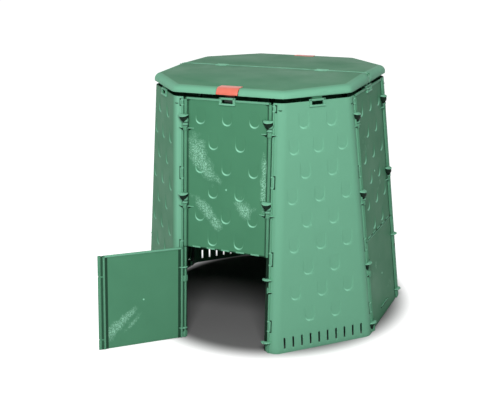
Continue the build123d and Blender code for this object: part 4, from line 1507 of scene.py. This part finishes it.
def roof_height(y):
    """The lid's roof falls evenly from its middle to its front and rear edges."""
    return LID_TOP - LID_SLOPE * np.abs(y)


def lid_shell():
    """The front leaf's skin: a rim carried along its edge, and a flat roof with its cut-outs.

    The rim's section is a straight wall and a quarter circle, painted palest where it turns, as a highlight.
    """
    turn = np.radians(np.linspace(0, 90, 9))
    insets = (0, *(LID_ROUND * (1 - np.cos(turn))), ROOF_INSET)
    drops = (*(LID_ROUND * (1 - np.sin(turn))), 0)
    bleach = (0.34, *(0.52 - 0.2 * np.sin(turn) ** 6), 0)
    paths = [lid_path(inset) for inset in insets]
    heights = [roof_height(path[:, 1]) - drop for path, drop in zip(paths[1:], drops)]
    rings = at_heights(paths, [LID_LOW, *heights])
    half = rings.shape[1] // 2
    keep = np.ones((len(rings) - 1, 2 * half - 1), bool)
    keep[:, half - 1] = False
    shape = Shape()
    shape.sheet(rings, keep, bleach=np.repeat(bleach, 2 * half))
    bay = [(-BAY_HALF, -BAY_BACK), (BAY_HALF, -BAY_BACK)]
    deep, wide = HINGE_Y - KNUCKLE_POCKET, KNUCKLE_SPANS[2]
    notch = np.array(((wide, -SEAM_EDGE), (wide, deep), (-wide, deep), (-wide, -SEAM_EDGE)))
    notches = [notch + (hinge, 0) for hinge in (HINGE_X, -HINGE_X)]
    outline = np.concatenate([paths[-1][:half], bay, paths[-1][half:], *notches])
    shape.take(np.column_stack([outline, roof_height(outline[:, 1])]), np.arange(len(outline))[None])
    return shape


def lid_inside(rounding):
    """Under the front leaf: ribs, latch bay, feet, seam wall, and the knuckles on the hinge line."""
    shape = Shape()
    knuckle = circle((HINGE_Y, HINGE_Z), KNUCKLE_RADIUS, 18)
    foot = Shape()
    reach = LID_DIAGONAL - FOOT_INSET
    foot.solid(block((-FOOT_HALF, FOOT_HALF), (-reach, FOOT_DEPTH - reach), FOOT_HEIGHTS, rounding))
    for side in (-1, 1):
        rib = sorted((side * (LID_RIB_X - LID_RIB_HALF), side * (LID_RIB_X + LID_RIB_HALF)))
        rib_run = (LID_RIB_INSET - LID_HALF, -SEAM_EDGE - INSIDE_GAP)
        shape.solid(block(rib, rib_run, LID_RIB_HEIGHTS, rounding))
        cheek = sorted((side * BAY_HALF, side * (BAY_HALF + WALL)))
        cheek_run = (CHEEK_INSET - LID_HALF, WALL - BAY_BACK)
        shape.solid(block(cheek, cheek_run, (INSIDE_LOW, CHEEK_TOP), rounding))
        shape.join(foot.placed(turned(45 * side)))
        for start, end in (KNUCKLE_SPANS[:2], KNUCKLE_SPANS[2:]):
            x = side * HINGE_X
            # The knuckles are painted paler as highlights.
            shape.solid(along_x(stacked(knuckle, x + start, x + end, LEDGE_ROUND)), bleach=0.7)
    back = (-BAY_HALF - WALL, BAY_HALF + WALL)
    shape.solid(block(back, (-BAY_BACK, WALL - BAY_BACK), (INSIDE_LOW, BAY_BACK_TOP), rounding))
    outer, inner = HINGE_X + KNUCKLE_SPANS[3], HINGE_X + KNUCKLE_SPANS[0]
    for span in ((-LID_HALF + WALL, -outer), (-inner, inner), (outer, LID_HALF - WALL)):
        shape.solid(block(span, (-SEAM_EDGE - WALL, -SEAM_EDGE), (INSIDE_LOW, SEAM_WALL_TOP), rounding))
    return shape


class BIN_OT_lid(bpy.types.Operator):
    """The lid leaves, the bar that they hinge on and the hinge pins"""

    bl_idname = "bin.lid"
    bl_label = "Lid"

    def execute(self, context):
        rounding = context.scene.bin_sizes.edge_round
        skin, inside = lid_shell(), lid_inside(rounding)
        for turn, end in ((0, "front"), (180, "rear")):
            leaf = (shape.placed(turned(turn)) for shape in (skin, inside))
            add_pieces(context, f"lid_{end}", f"{end}_lid", *leaf, 0.5 * rounding, ("shell", "inside"))
        # The centre bar is painted pale as the highlight along the lid's seam.
        dress("centre_bar", material_from(sun_bleached_polypropylene, context), 0.5 * rounding)
        for node in [name for name in frame["nodes"] if "pin" in name]:
            dress(node, material_from(drawn_steel, context), MARK_ROUND)
        return {"FINISHED"}


class BIN_OT_latches(bpy.types.Operator):
    """The two sliding latches"""

    bl_idname = "bin.latches"
    bl_label = "Latches"

    def execute(self, context):
        red = material_from(moulded_red_polypropylene, context)
        for node in ("latch_front", "latch_rear"):
            dress(node, red, context.scene.bin_sizes.edge_round)
        return {"FINISHED"}


# Stage


def aim(azimuth, elevation, roll):
    """A camera's or lamp's axes: right, up and back. At angles of 0 it looks level along +Y."""
    a, e, r = radians(azimuth), radians(elevation), radians(roll)
    forward = np.array((-sin(a) * cos(e), cos(a) * cos(e), -sin(e)))
    right = np.array((cos(a), sin(a), 0))
    over = np.cross(right, forward)
    return np.stack([right * cos(r) + over * sin(r), over * cos(r) - right * sin(r), -forward], -1)


def matrix_from(axes, place):
    """A matrix with given axes as its columns, at a place."""
    matrix = Matrix.Identity(4)
    for row in range(3):
        matrix[row][:3] = axes[row]
        matrix[row][3] = place[row]
    return matrix


def area_light(name, azimuth, elevation, distance, size, power):
    """A square soft box that looks at the bin's middle."""
    lamp = bpy.data.lights.new(name, "AREA")
    lamp.shape = "SQUARE"
    lamp.size = size
    lamp.energy = power
    made = bpy.data.objects.new(name, lamp)
    axes = aim(azimuth, elevation, 0)
    middle = np.array((0, 0, WALL_HEIGHT / 2))
    made.matrix_world = matrix_from(axes, middle + distance * axes[:, 2])
    bpy.context.scene.collection.objects.link(made)


def seen_directly(tree):
    """An output that is 1 for rays from the camera, a reflection or a clear piece, and 0 for the rest."""
    rays = add_node(tree, "ShaderNodeLightPath").outputs
    seen = rays["Is Camera Ray"]
    for kind in ("Is Glossy Ray", "Is Transmission Ray"):
        seen = add_node(tree, "ShaderNodeMath", {0: seen, 1: rays[kind]}, operation="MAXIMUM").outputs[0]
    return seen


def studio_floor(tree, colours):
    """A matt floor, grey under the bin as a painted shadow and pale round it, where a glow to the camera
    makes it white.
    """
    place = add_node(tree, "ShaderNodeTexCoord").outputs["Object"]
    away = add_node(tree, "ShaderNodeVectorMath", {0: place}, operation="LENGTH").outputs["Value"]
    ring = {"Value": away, "From Min": FLOOR_SHADOW_RING[0], "From Max": FLOOR_SHADOW_RING[1], "To Max": FLOOR_GLOW}
    unshadowed = add_node(tree, "ShaderNodeMapRange", ring, interpolation_type="SMOOTHSTEP").outputs["Result"]
    glow = add_node(tree, "ShaderNodeMath", {0: seen_directly(tree), 1: unshadowed}, operation="MULTIPLY")
    shine = add_node(tree, "ShaderNodeEmission", {"Color": colours.backdrop, "Strength": glow.outputs[0]})
    tone = add_node(
        tree, "ShaderNodeMix", {"Factor": unshadowed, 6: colours.floor, 7: colours.floor_round}, data_type="RGBA"
    )
    matt = add_node(tree, "ShaderNodeBsdfDiffuse", {"Color": tone.outputs[2]})
    both = add_node(tree, "ShaderNodeAddShader", {0: shine.outputs[0], 1: matt.outputs[0]})
    add_node(tree, "ShaderNodeOutputMaterial", {"Surface": both.outputs[0]})


def studio_world(colours):
    """White where the camera or a reflection sees it, and a plain soft light elsewhere."""
    world = bpy.data.worlds.new("studio")
    bpy.context.scene.world = world
    world.use_nodes = True
    tree = world.node_tree
    tree.nodes.clear()
    strength = add_node(
        tree, "ShaderNodeMapRange", {"Value": seen_directly(tree), "To Min": AMBIENT, "To Max": 1.0}
    )
    light = {"Color": colours.backdrop, "Strength": strength.outputs["Result"]}
    sky = add_node(tree, "ShaderNodeBackground", light)
    add_node(tree, "ShaderNodeOutputWorld", {"Surface": sky.outputs[0]})


class BIN_OT_stage(bpy.types.Operator):
    """The floor, soft light and camera"""

    bl_idname = "bin.stage"
    bl_label = "Stage"

    def execute(self, context):
        scene = context.scene
        scene.view_settings.view_transform = "Standard"
        floor = Shape()
        half = FLOOR_HALF
        floor.sheet(np.array((((-half, -half, 0), (half, -half, 0)), ((-half, half, 0), (half, half, 0)))))
        made = floor.build("studio_floor", material_from(studio_floor, context), False)
        studio_world(scene.bin_colours)
        for name, settings in SOFT_BOXES.items():
            area_light(name, *settings)
        lens = bpy.data.cameras.new("camera")
        lens.lens = CAMERA_LENS
        lens.sensor_width = CAMERA_FILM
        lens.sensor_fit = "HORIZONTAL"
        camera = bpy.data.objects.new("camera", lens)
        scene.collection.objects.link(camera)
        camera.matrix_world = matrix_from(aim(CAMERA_AZIMUTH, CAMERA_ELEVATION, CAMERA_ROLL), CAMERA_PLACE)
        scene.camera = camera
        return {"FINISHED"}


class BIN_PT_sidebar(bpy.types.Panel):
    """Lists the bin's pieces and the sizes and colours to change"""

    bl_idname = "BIN_PT_sidebar"
    bl_label = "Compost Bin"
    bl_space_type = "VIEW_3D"
    bl_region_type = "UI"
    bl_category = "Compost Bin"

    def draw(self, context):
        for group in (context.scene.bin_sizes, context.scene.bin_colours):
            for name in group.__annotations__:
                self.layout.prop(group, name)
        for operator in OPERATORS:
            self.layout.operator(operator.bl_idname)


OPERATORS = (
    BIN_OT_corner_panels, BIN_OT_upper_panels, BIN_OT_doors, BIN_OT_lid, BIN_OT_latches, BIN_OT_stage,
)
CLASSES = (BinSizes, BinColours, *OPERATORS, BIN_PT_sidebar)


def register():
    """Adds the classes, and the sizes and colours to the scene."""
    for kind in CLASSES:
        bpy.utils.register_class(kind)
    bpy.types.Scene.bin_sizes = bpy.props.PointerProperty(type=BinSizes)
    bpy.types.Scene.bin_colours = bpy.props.PointerProperty(type=BinColours)


def unregister():
    """Takes out what register adds."""
    del bpy.types.Scene.bin_colours
    del bpy.types.Scene.bin_sizes
    for kind in reversed(CLASSES):
        bpy.utils.unregister_class(kind)


def main():
    """Builds every piece and the stage."""
    register()
    bpy.ops.bin.corner_panels()
    bpy.ops.bin.upper_panels()
    bpy.ops.bin.doors()
    bpy.ops.bin.lid()
    bpy.ops.bin.latches()
    bpy.ops.bin.stage()


if __name__ == "__main__":
    main()
